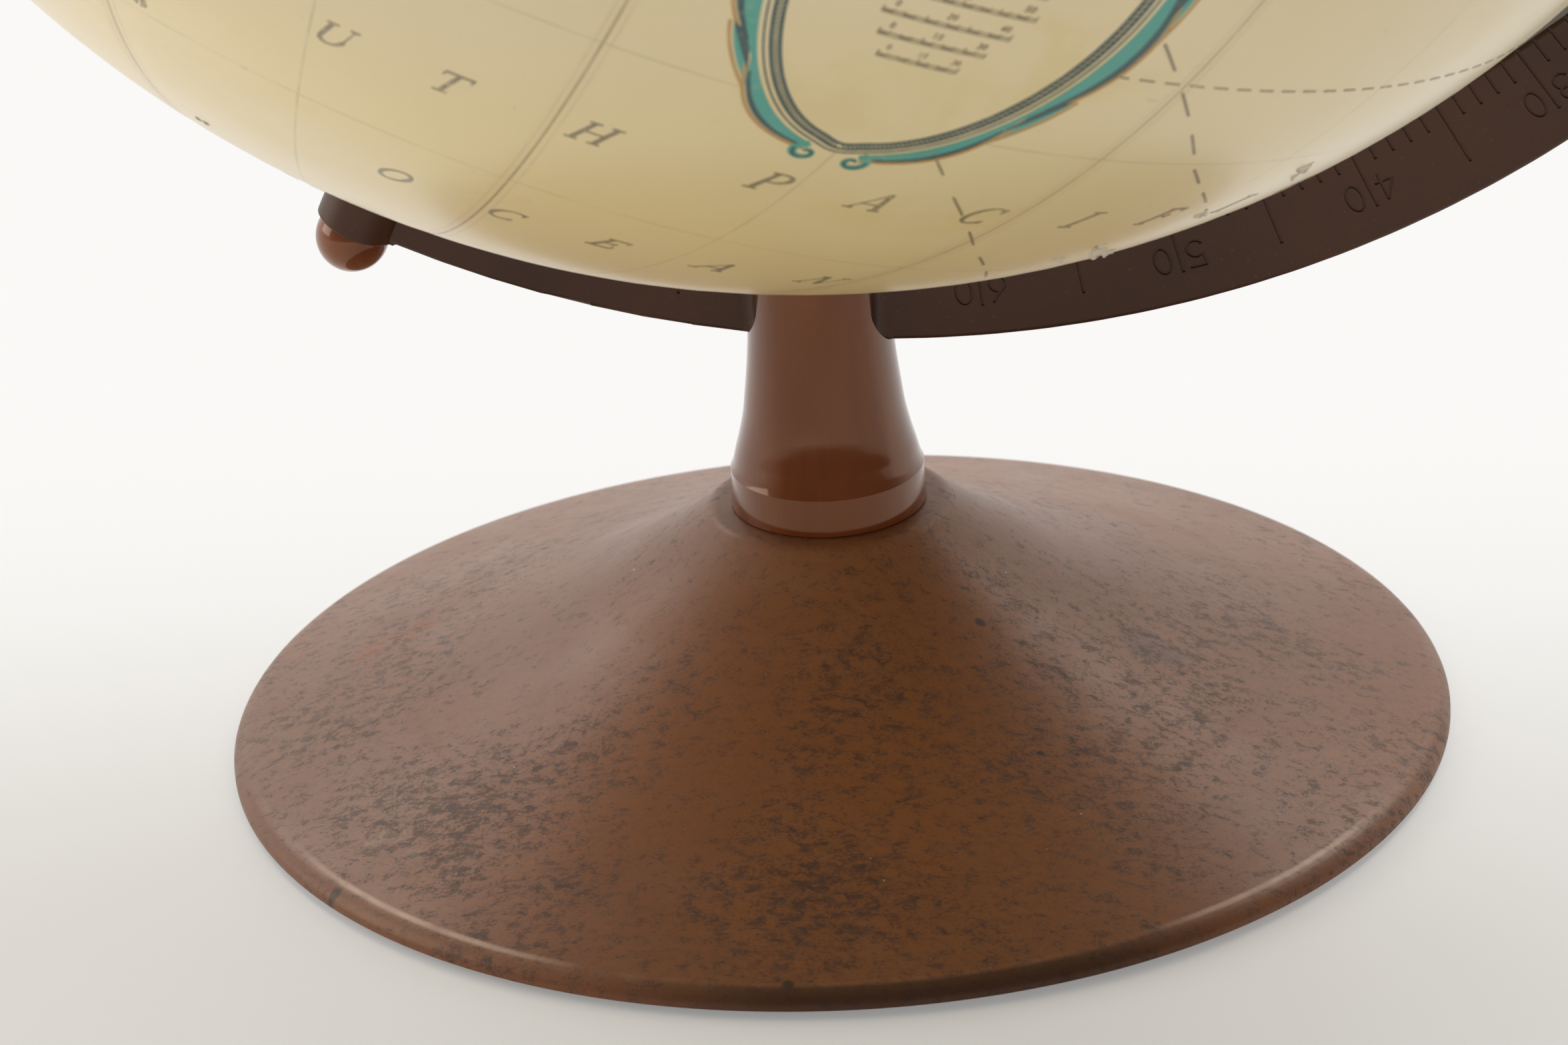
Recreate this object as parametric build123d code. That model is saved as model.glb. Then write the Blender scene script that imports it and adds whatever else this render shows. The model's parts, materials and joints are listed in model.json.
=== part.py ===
from build123d import *
import os
from math import sin, cos, sqrt, radians, degrees, atan2, hypot, pi

# Terrestrial desk globe, 12 inch ball on a semi-meridian arm and a dished
# foot. All sizes in millimetres. Origin: centre of the foot, on the table.
# +Z is up. The arm lies in the XZ plane and the north pole leans to +X.
# The arm sits a little to the +X side in its neck, as it settles in use, so
# the ball's centre is just off the foot's axis.

# ---------------------------------------------------------------- sizes
ball_r = 152.4            # 12 inch ball, over the printed map
ball_x = 6.1              # ball's centre, measured from the foot's axis
ball_z = 233.4            # height of the ball's centre
tilt_deg = 25.1           # lean of the polar axis

paper_t = 0.25            # printed gore with its varnish
shell_gap = 0.02          # glue line between shell and paper
shell_t = 2.4             # pressed chipboard
hoop_t = 2.2              # splice ring inside the equator
hoop_half = 12.0
tape_half = 3.0           # equator tape, half width
tape_t = 0.2
gore_count = 12
gore_gap_deg = 0.10       # hairline between neighbouring gores
seam_deg = 9.37           # turn of the first seam from the arm's plane
calotte_r = 13.0          # paper disc over the gore tips

axle_r = 2.0
axle_half = 177.0         # each way from the middle of the arm's span
grommet_bore_r = 2.06     # running fit on the axle
grommet_barrel_r = 4.0
grommet_flange_r = 6.0
shell_hole_r = 4.05

# The arm's circle is struck from a point 2.9 mm to its own side of the polar
# axis, and the ball rests on its lower washer, 2 mm south of that point.
arm_dx, arm_dz = 2.88, 2.01
arm_in_r = 156.5
arm_out_r = 171.6
arm_half_t = 3.0
arm_edge_r = 0.7
boss_r = 6.0              # pole bosses, round about the polar axis
boss_in = 156.5           # bosses and caps are laid out from the arm's middle
boss_out = 172.15
cap_r = 5.3
cap_c = 173.95
washer_s0, washer_s1 = 153.5, 154.48

scale_w = 0.45            # engraved strokes
scale_d = 0.30
tick_short_r = 160.4
tick_long_r = 166.9
digit_r = 164.5
digit_h = 4.3
digit_w = 2.9
digit_off = 2.45

dish_r = 89.2
dish_t = 1.2
dish_top_z = 36.3
dish_hole_r = 8.1
trim_t = 1.15

neck_foot_r = 14.1
neck_top_z = 76.0
neck_bore_r = 8.4
slot_half = 6.2
slot_cz = 68.55           # centre of the slot's round bottom, on the neck's axis
slot_slope = 3.0          # the slot follows the arm, falling towards +X
web_z0, web_z1 = 47.0, 51.5

hub_r = 8.3
insert_r = 4.5
insert_len = 14.0
bolt_r = 2.95             # M6
bolt_head_af = 10.0
bolt_head_h = 4.0

os.makedirs("parts", exist_ok=True)

nodes = {}

# frame of the ball: local +Z is the north end of the polar axis
POLAR = Pos(ball_x, 0, ball_z) * Rot(0, tilt_deg, 0)
_t = radians(tilt_deg)
arm_x = ball_x + arm_dx * cos(_t) + arm_dz * sin(_t)
arm_z = ball_z - arm_dx * sin(_t) + arm_dz * cos(_t)


def face_of(points):
    """Closed face in the XZ plane from (x, z) corner points."""
    return make_face(Plane.XZ * Polyline([(x, z) for x, z in points], close=True))


def ring(points):
    """Solid of revolution about Z of a closed (r, z) polygon."""
    return revolve(face_of(points), Axis.Z, 360)


def zone(r0, r1, z0, z1, arc=360.0):
    """Piece of a spherical skin between radii r0 < r1 and heights z0 < z1,
    swept through arc degrees about Z from the XZ plane."""
    def at(r, z):
        return (sqrt(max(r * r - z * z, 0.0)), z)

    def mid(r, za, zb):
        a = (atan2(za, at(r, za)[0]) + atan2(zb, at(r, zb)[0])) / 2
        return (r * cos(a), r * sin(a))

    a, b, c, d = at(r1, z0), at(r1, z1), at(r0, z1), at(r0, z0)
    edges = [
        ThreePointArc(a, mid(r1, z0, z1), b),
        Line(b, c),
        ThreePointArc(c, mid(r0, z0, z1), d),
        Line(d, a),
    ]
    return revolve(make_face(Plane.XZ * Curve(edges)), Axis.Z, arc)


def cap_zone(r0, r1, z0, hole, arc=360.0):
    """Spherical skin from height z0 up to a round hole of radius hole."""
    def at(r, z):
        return (sqrt(max(r * r - z * z, 0.0)), z)

    za, zb = sqrt(r1 * r1 - hole * hole), sqrt(r0 * r0 - hole * hole)
    a, b, c, d = at(r1, z0), (hole, za), (hole, zb), at(r0, z0)

    def mid(r, p, q):
        g = (atan2(p[1], p[0]) + atan2(q[1], q[0])) / 2
        return (r * cos(g), r * sin(g))

    edges = [
        ThreePointArc(a, mid(r1, a, b), b),
        Line(b, c),
        ThreePointArc(c, mid(r0, c, d), d),
        Line(d, a),
    ]
    return revolve(make_face(Plane.XZ * Curve(edges)), Axis.Z, arc)


def both_poles(solid):
    """A piece built at the north pole, and its turned-over twin."""
    return POLAR * solid, POLAR * (Rot(180, 0, 0) * solid)


# ---------------------------------------------------------------- ball
shell_out = ball_r - paper_t - shell_gap
shell_in = shell_out - shell_t

north, south = both_poles(cap_zone(shell_in, shell_out, 0.0, shell_hole_r))
nodes["northern_shell"] = north
nodes["southern_shell"] = south

# splice ring glued half into each hemisphere
nodes["equator_joint_hoop"] = POLAR * zone(
    shell_in - 0.02 - hoop_t, shell_in - 0.02, -hoop_half, hoop_half
)

# twelve half-gores on each hemisphere, all meeting under the calotte
gore_arc = 360.0 / gore_count
gore = cap_zone(ball_r - paper_t, ball_r, 0.05, 5.0, gore_arc - gore_gap_deg)


def gores(first):
    return [
        Rot(0, 0, first + k * gore_arc + gore_gap_deg / 2) * gore
        for k in range(gore_count)
    ]


# turning a half over runs its angles backwards, so its first seam is mirrored
north_gores = [POLAR * g for g in gores(seam_deg)]
south_gores = [POLAR * (Rot(180, 0, 0) * g) for g in gores(-seam_deg)]
nodes["north_map_gores"] = Compound(children=north_gores)
nodes["south_map_gores"] = Compound(children=south_gores)

# printed strip over the equator joint
tape_in = ball_r + 0.02
nodes["equator_tape"] = POLAR * zone(tape_in, tape_in + tape_t, -tape_half, tape_half)

# round paper discs over the gore tips
calotte_z = sqrt((tape_in + tape_t) ** 2 - calotte_r**2)
north, south = both_poles(
    cap_zone(tape_in, tape_in + tape_t, calotte_z, shell_hole_r + 0.1)
)
nodes["north_calotte"] = north
nodes["south_calotte"] = south

# flanged pole bushings with a push-on ring inside the shell
flange_z0, flange_z1 = 152.64, 153.40
barrel_z0 = 146.5
grommet = ring(
    [
        (grommet_bore_r, barrel_z0),
        (grommet_barrel_r, barrel_z0),
        (grommet_barrel_r, flange_z0),
        (grommet_flange_r, flange_z0),
        (grommet_flange_r, flange_z1 - 0.3),
        (grommet_flange_r - 0.3, flange_z1),
        (grommet_bore_r, flange_z1),
    ]
)
north, south = both_poles(grommet)
nodes["north_grommet"] = north
nodes["south_grommet"] = south
ret_z1 = sqrt(shell_in**2 - 8.0**2) - 0.02
retainer = ring([(4.02, ret_z1 - 1.4), (8.0, ret_z1 - 1.4), (8.0, ret_z1), (4.02, ret_z1)])
north, south = both_poles(retainer)
nodes["north_grommet_retainer"] = north
nodes["south_grommet_retainer"] = south

# cardboard guide tube between the two bushings
tube_half = ret_z1 - 1.4 - 0.1
nodes["axle_tube"] = POLAR * (
    Cylinder(6.2, 2 * tube_half) - Cylinder(4.1, 2 * tube_half)
)

# ---------------------------------------------------------------- axle and its ends
axle = Cylinder(axle_r, 2 * axle_half)
axle = chamfer(axle.edges().filter_by(GeomType.CIRCLE), 0.4)
nodes["axle_rod"] = POLAR * (Pos(0, 0, arm_dz) * axle)

thrust = ring([(2.1, washer_s0), (5.0, washer_s0), (5.0, washer_s1), (2.1, washer_s1)])
north, south = both_poles(thrust)
nodes["north_thrust_washer"] = north
nodes["south_thrust_washer"] = south

# the play above the ball is filled by a plain bush under the north boss
bush_s1 = boss_in + arm_dz - 0.02
bush = ring(
    [(2.1, washer_s1 + 0.02), (4.5, washer_s1 + 0.02), (4.5, bush_s1), (2.1, bush_s1)]
)
nodes["north_spacer_bush"] = POLAR * bush


# ball-shaped cap: flat seat on the boss, blind bore on the axle's end
def cap_at(shift):
    seat, tip = boss_out + shift, axle_half + shift
    c = Pos(0, 0, cap_c + shift) * Sphere(cap_r)
    c = c - Pos(0, 0, seat - 10) * Box(30, 30, 20)
    return c - Pos(0, 0, (seat + tip + 0.1) / 2) * Cylinder(axle_r + 0.01, tip + 0.1 - seat)


nodes["north_cap"] = POLAR * cap_at(arm_dz)
nodes["south_cap"] = POLAR * (Rot(180, 0, 0) * cap_at(-arm_dz))

# ---------------------------------------------------------------- semi-meridian arm
# Angles in the XZ plane are counted from +X; latitude = angle + tilt.
r_mid = (arm_in_r + arm_out_r) / 2
arm_h = arm_out_r - arm_in_r
over = degrees(atan2(arm_dx, r_mid))      # the band reaches the polar axis at both ends

section = Plane.XY * (Pos(r_mid, 0) * RectangleRounded(arm_h, 2 * arm_half_t, arm_edge_r))
band = revolve(section, Axis.Y, 180 + 2 * over)
# revolve about +Y turns +X towards -Z: find its start, then turn it into place
band = Pos(arm_x, 0, arm_z) * Rot(0, -(90.0 - tilt_deg + over), 0) * band


def boss_at(shift):
    s0, s1 = boss_in + shift, boss_out + shift
    return ring(
        [(0.0, s0), (boss_r, s0), (boss_r, s1 - 0.25), (boss_r - 0.25, s1), (0.0, s1)]
    )


def gusset(shift):
    """Small concave blend between a boss's side and the arm's outer edge."""
    r = 0.3
    dx = boss_r + r - arm_dx
    zc = shift + sqrt((arm_out_r + r) ** 2 - dx**2)
    k = arm_out_r / (arm_out_r + r)
    foot = (arm_dx + dx * k, shift + (zc - shift) * k)
    # middle of the hollow arc, on the side of its centre that faces the corner
    ux, uz = foot[0] - (boss_r + r) - r, foot[1] - zc
    ul = sqrt(ux * ux + uz * uz)
    mid = (boss_r + r + r * ux / ul, zc + r * uz / ul)
    pts = [
        (boss_r - 1.0, zc),
        (boss_r, zc),
        foot,
        (foot[0], foot[1] - 2.0),
        (boss_r - 1.0, foot[1] - 2.0),
    ]
    edges = [
        Line(pts[0], pts[1]),
        ThreePointArc(pts[1], mid, pts[2]),
        Line(pts[2], pts[3]),
        Line(pts[3], pts[4]),
        Line(pts[4], pts[0]),
    ]
    f = make_face(Plane.XZ * Curve(edges))
    return extrude(f, arm_half_t - 0.35, both=True)


north_boss = POLAR * boss_at(arm_dz)
south_boss = POLAR * (Rot(180, 0, 0) * boss_at(-arm_dz))
g_north = POLAR * gusset(arm_dz)
g_south = POLAR * (Rot(180, 0, 0) * gusset(-arm_dz))

# hub that stands in the neck's socket
hub_z0 = web_z1
hub = Pos(0, 0, (hub_z0 + neck_top_z) / 2) * Cylinder(hub_r, neck_top_z - hub_z0)
hub = chamfer(hub.edges().filter_by(GeomType.CIRCLE).sort_by(Axis.Z)[0], 0.6)

# collar: the arm thickens to fill the neck's slots, then fairs into the plate
flare_x0, flare_x1 = 8.3, 10.9
w = slot_half - 0.2
flare_r = 2.6
yc = arm_half_t - 0.02 + flare_r
flare = None
for sx in (-1, 1):
    q = flare_r * sqrt(0.5)
    f = make_face(
        Curve(
            [
                Line((sx * 6.0, -w), (sx * flare_x0, -w)),
                Line((sx * flare_x0, -w), (sx * flare_x0, -yc)),
                ThreePointArc(
                    (sx * flare_x0, -yc),
                    (sx * (flare_x1 - q), -yc + q),
                    (sx * flare_x1, -yc + flare_r),
                ),
                Line((sx * flare_x1, -yc + flare_r), (sx * flare_x1, yc - flare_r)),
                ThreePointArc(
                    (sx * flare_x1, yc - flare_r),
                    (sx * (flare_x1 - q), yc - q),
                    (sx * flare_x0, yc),
                ),
                Line((sx * flare_x0, yc), (sx * flare_x0, w)),
                Line((sx * flare_x0, w), (sx * 6.0, w)),
                Line((sx * 6.0, w), (sx * 6.0, -w)),
            ]
        )
    )
    f = Pos(0, 0, 55) * f
    e = extrude(f, 25, dir=(0, 0, 1))
    flare = e if flare is None else flare + e
lim = revolve(
    Plane.XY * (Pos(r_mid, 0) * Rectangle(arm_h, 16)), Axis.Y, 360
)
lim = Pos(arm_x, 0, arm_z) * lim


def u_bar(half):
    """Bar with a round bottom, as deep as the slot and open upwards."""
    u = Plane.YZ * (Circle(half) + Pos(0, 10) * Rectangle(2 * half, 20))
    return Pos(0, 0, slot_cz) * Rot(0, slot_slope, 0) * extrude(u, 20, both=True)


flare = (flare & lim) & u_bar(w)

arm = band + [north_boss, south_boss, g_north, g_south, hub, flare]
arm = arm - [
    POLAR * (Pos(0, 0, 165) * Cylinder(axle_r + 0.05, 34)),
    POLAR * (Pos(0, 0, -165) * Cylinder(axle_r + 0.05, 34)),
    Pos(0, 0, hub_z0 + (insert_len + 2) / 2) * Cylinder(insert_r, insert_len + 2),
]


# Degree scale, engraved on both faces. Latitude is read outward, digits have
# their tops away from the ball and straddle the ten-degree stroke.
def stroke(p, q, w=scale_w):
    length = hypot(q[0] - p[0], q[1] - p[1])
    return (
        Pos((p[0] + q[0]) / 2, (p[1] + q[1]) / 2)
        * Rot(0, 0, degrees(atan2(q[1] - p[1], q[0] - p[0])))
        * SlotCenterToCenter(length, w)
    )


def bow(cx, cy, r, start, size, w=scale_w):
    return SlotArc(CenterArc((cx, cy), r, start, size), w)


H, W = digit_h, digit_w
hw, hh = W / 2 - scale_w / 2, H / 2 - scale_w / 2
digits = {
    "0": Ellipse(W / 2 - 0.1, H / 2) - Ellipse(W / 2 - 0.1 - scale_w, H / 2 - scale_w),
    "1": stroke((0, -hh), (0, hh)) + stroke((0, hh), (-0.8, hh - 0.9)),
    "2": bow(0, hh - 1.15, 1.15, -35, 205)
    + stroke((0.95, hh - 1.8), (-hw, -hh))
    + stroke((-hw, -hh), (hw, -hh)),
    "3": bow(0, hh - 0.95, 0.95, -90, 240) + bow(0, -hh + 1.1, 1.1, -150, 240),
    "4": stroke((0.55, -hh), (0.55, hh))
    + stroke((0.55, hh), (-hw, -0.8))
    + stroke((-hw, -0.8), (hw, -0.8)),
    "5": stroke((hw - 0.1, hh), (-hw + 0.2, hh))
    + stroke((-hw + 0.2, hh), (-hw + 0.15, 0.25))
    + bow(-0.05, -hh + 1.2, 1.2, -145, 265),
    "6": (Pos(0, -hh + 1.15) * (Circle(1.15 + scale_w / 2) - Circle(1.15 - scale_w / 2)))
    + stroke((-1.1, -hh + 1.3), (0.75, hh)),
    "7": stroke((-hw, hh), (hw, hh)) + stroke((hw, hh), (-0.35, -hh)),
    "8": (Pos(0, hh - 0.9) * (Circle(0.9 + scale_w / 2) - Circle(0.9 - scale_w / 2)))
    + (Pos(0, -hh + 1.08) * (Circle(1.08 + scale_w / 2) - Circle(1.08 - scale_w / 2))),
}

cutters = []
for face_y in (-1, 1):
    # local frame of one face: x radial-tangential plane seen from outside
    base = Plane(
        origin=(arm_x, face_y * arm_half_t, arm_z),
        x_dir=(-face_y, 0, 0),
        z_dir=(0, face_y, 0),
    )
    for lat in range(-87, 88):
        ang = lat - tilt_deg
        if -97.9 < ang < -89.2:
            continue
        # angle in the face's own plane
        a = ang if face_y < 0 else 180.0 - ang
        long_tick = lat % 5 == 0
        r1 = tick_long_r if long_tick else tick_short_r
        r0 = arm_in_r - 1.0
        t = base * (
            Rot(0, 0, a) * (Pos((r0 + r1) / 2, 0) * Rectangle(r1 - r0, scale_w))
        )
        cutters.append(extrude(t, scale_d, dir=(0, -face_y, 0)))
        if lat % 10 == 0 and abs(lat) <= 80 and not -101.0 < ang < -87.0:
            text = str(abs(lat))
            offs = [digit_off] if len(text) == 1 else [-digit_off, digit_off]
            for off, ch in zip(offs, text):
                g = base * (
                    Rot(0, 0, a)
                    * (Pos(digit_r, 0) * Rot(0, 0, -90) * (Pos(off, 0) * digits[ch]))
                )
                for f in g.faces():
                    cutters.append(extrude(f, scale_d, dir=(0, -face_y, 0)))
arm = arm - cutters
nodes["meridian_arm"] = arm

# threaded brass insert in the hub
ins = Pos(0, 0, hub_z0 + insert_len / 2) * (
    Cylinder(insert_r, insert_len) - Cylinder(bolt_r + 0.05, insert_len)
)
for k in (3.0, 7.0, 11.0):
    ins = ins - Pos(0, 0, hub_z0 + k) * (Cylinder(insert_r + 1, 1.0) - Cylinder(insert_r - 0.4, 1.0))
nodes["hub_insert"] = ins

# ---------------------------------------------------------------- neck
neck_profile = [
    (13.5, 43.4), (13.12, 45.0), (12.68, 46.56), (12.29, 48.14), (11.94, 49.72),
    (11.66, 51.3), (11.45, 52.86), (11.27, 54.4), (11.08, 56.0), (10.91, 57.55),
    (10.75, 59.1), (10.61, 60.7), (10.4, 64.0), (10.25, 68.0), (10.15, 72.0),
    (10.1, neck_top_z - 0.5),
]
z_foot = dish_top_z
outer = [
    Line((neck_foot_r - 0.25, z_foot), (neck_foot_r, z_foot + 0.25)),
    Line((neck_foot_r, z_foot + 0.25), (neck_foot_r - 0.1, 42.1)),
    Spline([(neck_foot_r - 0.1, 42.1)] + neck_profile),
    ThreePointArc(
        neck_profile[-1],
        (10.1 - 0.15, neck_top_z - 0.15),
        (10.1 - 0.5, neck_top_z),
    ),
    Line((9.6, neck_top_z), (neck_bore_r, neck_top_z)),
    Line((neck_bore_r, neck_top_z), (neck_bore_r, web_z1)),
    Line((neck_bore_r, web_z1), (3.3, web_z1)),
    # central spigot that passes through the dish
    Line((3.3, web_z1), (3.3, z_foot - dish_t + 0.1)),
    Line((3.3, z_foot - dish_t + 0.1), (8.0, z_foot - dish_t + 0.1)),
    Line((8.0, z_foot - dish_t + 0.1), (8.0, web_z0 - 1.5)),
    Line((8.0, web_z0 - 1.5), (10.2, web_z0 - 1.5)),
    Line((10.2, web_z0 - 1.5), (11.8, 41.8)),
    Line((11.8, 41.8), (11.9, z_foot)),
    Line((11.9, z_foot), (neck_foot_r - 0.25, z_foot)),
]
neck = revolve(make_face(Plane.XZ * Curve(outer)), Axis.Z, 360)
# the slots cut the wall only: the socket between them is already open
neck = neck - u_bar(slot_half)
nodes["neck"] = neck

# ---------------------------------------------------------------- foot
dish_pts = [
    (87.0, 4.0), (83.8, 5.12), (80.75, 6.08), (74.7, 8.01), (68.6, 9.99), (63.6, 11.75),
    (56.5, 14.16), (48.4, 17.3), (41.4, 20.5), (34.3, 24.26), (29.3, 27.36),
    (24.2, 30.67), (20.7, 33.29), (18.5, 35.0),
]


def offset_in(pts, d):
    out = []
    for i, (x, y) in enumerate(pts):
        p = pts[max(i - 1, 0)]
        q = pts[min(i + 1, len(pts) - 1)]
        tx, ty = q[0] - p[0], q[1] - p[1]
        n = hypot(tx, ty)
        # profile runs inward and upward: the underside lies to its left
        out.append((x + (-ty / n) * d, y + (tx / n) * d))
    return out


inner_pts = offset_in(dish_pts, dish_t)
top_in = dish_top_z - dish_t
lip_z = trim_t + 0.05
e = [
    Line((dish_r, lip_z), (dish_r, 1.9)),
    ThreePointArc((dish_r, 1.9), (dish_r - 0.87, 3.19), dish_pts[0]),
    Spline(dish_pts),
    ThreePointArc(dish_pts[-1], (17.4, 35.97), (16.1, dish_top_z)),
    Line((16.1, dish_top_z), (dish_hole_r, dish_top_z)),
    Line((dish_hole_r, dish_top_z), (dish_hole_r, top_in)),
    Line((dish_hole_r, top_in), (15.8, top_in)),
    ThreePointArc((15.8, top_in), (16.8, 34.84), inner_pts[-1]),
    Spline(inner_pts[::-1]),
    ThreePointArc(inner_pts[0], (dish_r - dish_t - 0.48, 2.5), (dish_r - dish_t, 1.8)),
    Line((dish_r - dish_t, 1.8), (dish_r - dish_t, lip_z)),
    Line((dish_r - dish_t, lip_z), (dish_r, lip_z)),
]
nodes["base_dish"] = revolve(make_face(Plane.XZ * Curve(e)), Axis.Z, 360)

# soft black edging: a flat lip under the rim and an upstand inside it
nodes["base_edge_trim"] = ring(
    [
        (84.6, 0.0),
        (86.4, 0.0),
        (86.6, 0.2),
        (86.6, 0.9),
        (dish_r - dish_t - 0.1, 0.9),
        (dish_r - dish_t - 0.1, 1.6),
        (84.9, 1.6),
        (84.6, 1.3),
    ]
)

# fastening under the foot
w_z1 = top_in
nodes["spreader_washer"] = ring(
    [(3.3, w_z1 - 1.5), (13.5, w_z1 - 1.5), (13.5, w_z1), (3.3, w_z1)]
)
lw_z1 = w_z1 - 1.5
lock = ring([(3.1, lw_z1 - 1.6), (5.9, lw_z1 - 1.6), (5.9, lw_z1), (3.1, lw_z1)])
lock = lock - Pos(4.5, 0, lw_z1 - 0.8) * Rot(30, 0, 0) * Box(6, 0.7, 6)
nodes["lock_washer"] = lock
head_z1 = lw_z1 - 1.6
bolt_top = hub_z0 + insert_len - 1.0
head = Pos(0, 0, head_z1 - bolt_head_h) * extrude(
    RegularPolygon(bolt_head_af / 2, 6, major_radius=False), bolt_head_h
)
head = head & ring(
    [
        (0, head_z1 - bolt_head_h),
        (bolt_head_af / 2 - 0.2, head_z1 - bolt_head_h),
        (bolt_head_af / 2 + 0.95, head_z1 - bolt_head_h + 0.7),
        (bolt_head_af / 2 + 0.95, head_z1),
        (0, head_z1),
    ]
)
shank = Pos(0, 0, (head_z1 + bolt_top) / 2) * Cylinder(bolt_r, bolt_top - head_z1)
shank = chamfer(shank.edges().filter_by(GeomType.CIRCLE).sort_by(Axis.Z)[-1], 0.6)
nodes["tie_bolt"] = head + shank

# ---------------------------------------------------------------- write
for name, shape in nodes.items():
    export_step(shape, f"parts/{name}.step")
    print(name, len(shape.solids()), round(shape.volume, 1))
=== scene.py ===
import json
import math
import random

import bmesh
import bpy
import numpy as np
from mathutils import Matrix, Vector
from mathutils.geometry import delaunay_2d_cdt


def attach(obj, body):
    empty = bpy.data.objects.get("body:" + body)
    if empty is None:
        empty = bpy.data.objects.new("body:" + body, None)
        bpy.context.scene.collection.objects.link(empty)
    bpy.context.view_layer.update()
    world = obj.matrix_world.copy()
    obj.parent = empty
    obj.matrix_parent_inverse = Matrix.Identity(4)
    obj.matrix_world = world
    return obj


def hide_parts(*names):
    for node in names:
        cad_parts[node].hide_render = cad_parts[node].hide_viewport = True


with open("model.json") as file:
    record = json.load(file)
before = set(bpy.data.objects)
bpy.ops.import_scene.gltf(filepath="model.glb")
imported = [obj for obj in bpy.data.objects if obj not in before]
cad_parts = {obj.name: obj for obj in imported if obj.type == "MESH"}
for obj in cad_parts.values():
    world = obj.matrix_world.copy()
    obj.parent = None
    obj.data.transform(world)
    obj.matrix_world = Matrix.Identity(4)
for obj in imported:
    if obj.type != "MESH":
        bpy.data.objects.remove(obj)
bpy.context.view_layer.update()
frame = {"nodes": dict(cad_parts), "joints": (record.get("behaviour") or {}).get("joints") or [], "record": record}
scene = bpy.context.scene
scene.view_settings.view_transform = "Standard"
scene.view_settings.look = "None"

# ------------------------------------------------------------------ driving dimensions
BALL_R = 0.1524                 # over the printed map
PAPER = 0.00025                 # thickness of the map paper
DEG = BALL_R * math.pi / 180    # one degree on the ball, in metres
MM = DEG * 1000                 # one degree on the ball, in millimetres
MAP_TURN = math.radians(-2.83)  # how far the map is turned on its axle at rest
GORES = 12
GORE_WIDTH = 30.0               # degrees
SEAM0 = -107.8                  # a gore seam, local longitude
REAL = 72.2                     # local longitude = true longitude + REAL
GRATICULE = 15.0                # degrees between printed meridians and parallels

CARTOUCHE_LAT, CARTOUCHE_LON = -17.5, -62.9     # middle of the rope oval
OVAL_W, OVAL_H = 21.8, 38.5                     # its half width and half height, mm

# ------------------------------------------------------------------ frame of the ball
joint = next(j for j in frame["joints"] if j["name"] == "globe_spin")
CENTRE = np.array(joint["pos_m"], float)
AXLE = np.array(joint["axis"], float)
AXLE = AXLE / np.linalg.norm(AXLE)
rest_90 = np.array([0.0, 1.0, 0.0])
rest_0 = np.cross(rest_90, AXLE)
rest_0 = rest_0 / np.linalg.norm(rest_0)
# directions of local longitude 0 and 90 on the equator
LON_0 = math.cos(MAP_TURN) * rest_0 + math.sin(MAP_TURN) * rest_90
LON_90 = -math.sin(MAP_TURN) * rest_0 + math.cos(MAP_TURN) * rest_90


def smooth(start, end, x):
    t = np.clip((x - start) / (end - start), 0, 1)
    return t * t * (3 - 2 * t)


def ripple(lat, lon):
    """Radius offset of the paper: slight lumps, and a shallow valley along each seam."""
    la, lo = np.radians(lat), np.radians(lon)
    lumps = (
        np.sin(5.0 * lo + 1.3 + 2.0 * np.sin(3.1 * la)) * np.sin(6.2 * la + 0.7)
        + 0.6 * np.sin(11.0 * lo + 4.0 * la) * np.cos(9.0 * la - 1.1)
    ) * np.cos(la)
    past_seam = np.mod(lon - SEAM0, GORE_WIDTH)
    to_seam = np.minimum(past_seam, GORE_WIDTH - past_seam) * np.cos(la) * DEG
    valley = 1 - smooth(0.0, 0.0022, to_seam)
    return 0.00003 * lumps - 0.00005 * valley * smooth(0.03, 0.2, np.cos(la))


def ball_point(lat, lon, lift=0.0, rippled=True):
    """Point at local latitude and longitude in degrees, lifted off the ball."""
    lat, lon = np.asarray(lat, float), np.asarray(lon, float)
    la, lo = np.radians(lat), np.radians(lon)
    r = BALL_R + lift + (ripple(lat, lon) if rippled else 0)
    cos_lat = np.cos(la)
    return (
        CENTRE
        + (r * cos_lat * np.cos(lo))[..., None] * LON_0
        + (r * cos_lat * np.sin(lo))[..., None] * LON_90
        + (r * np.sin(la))[..., None] * AXLE
    )


# ------------------------------------------------------------------ mesh helpers
def make(name, verts, faces, material, body=None, replaces=()):
    mesh = bpy.data.meshes.new(name)
    mesh.from_pydata(
        [tuple(map(float, v)) for v in verts], [], [tuple(int(i) for i in f) for f in faces]
    )
    mesh.update()
    mesh.polygons.foreach_set("use_smooth", [True] * len(mesh.polygons))
    mesh.materials.append(material)
    ob = bpy.data.objects.new(name, mesh)
    scene.collection.objects.link(ob)
    if body:
        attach(ob, body)
    if replaces:
        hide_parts(*replaces)
    return ob


def sharp_by_angle(ob, degrees):
    """Marks edges sharper than this, so smooth faces keep crisp corners."""
    mesh = ob.data
    mesh.update()
    normals = np.zeros(len(mesh.polygons) * 3)
    mesh.polygons.foreach_get("normal", normals)
    normals = normals.reshape(-1, 3)
    sides = {}
    for polygon in mesh.polygons:
        for key in polygon.edge_keys:
            sides.setdefault(key, []).append(polygon.index)
    limit = math.cos(math.radians(degrees))
    for edge in mesh.edges:
        f = sides.get(edge.key, [])
        if len(f) == 2 and float(normals[f[0]] @ normals[f[1]]) < limit:
            edge.use_edge_sharp = True


def face_outwards(ob):
    bm = bmesh.new()
    bm.from_mesh(ob.data)
    bmesh.ops.recalc_face_normals(bm, faces=bm.faces)
    bm.to_mesh(ob.data)
    bm.free()


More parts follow.
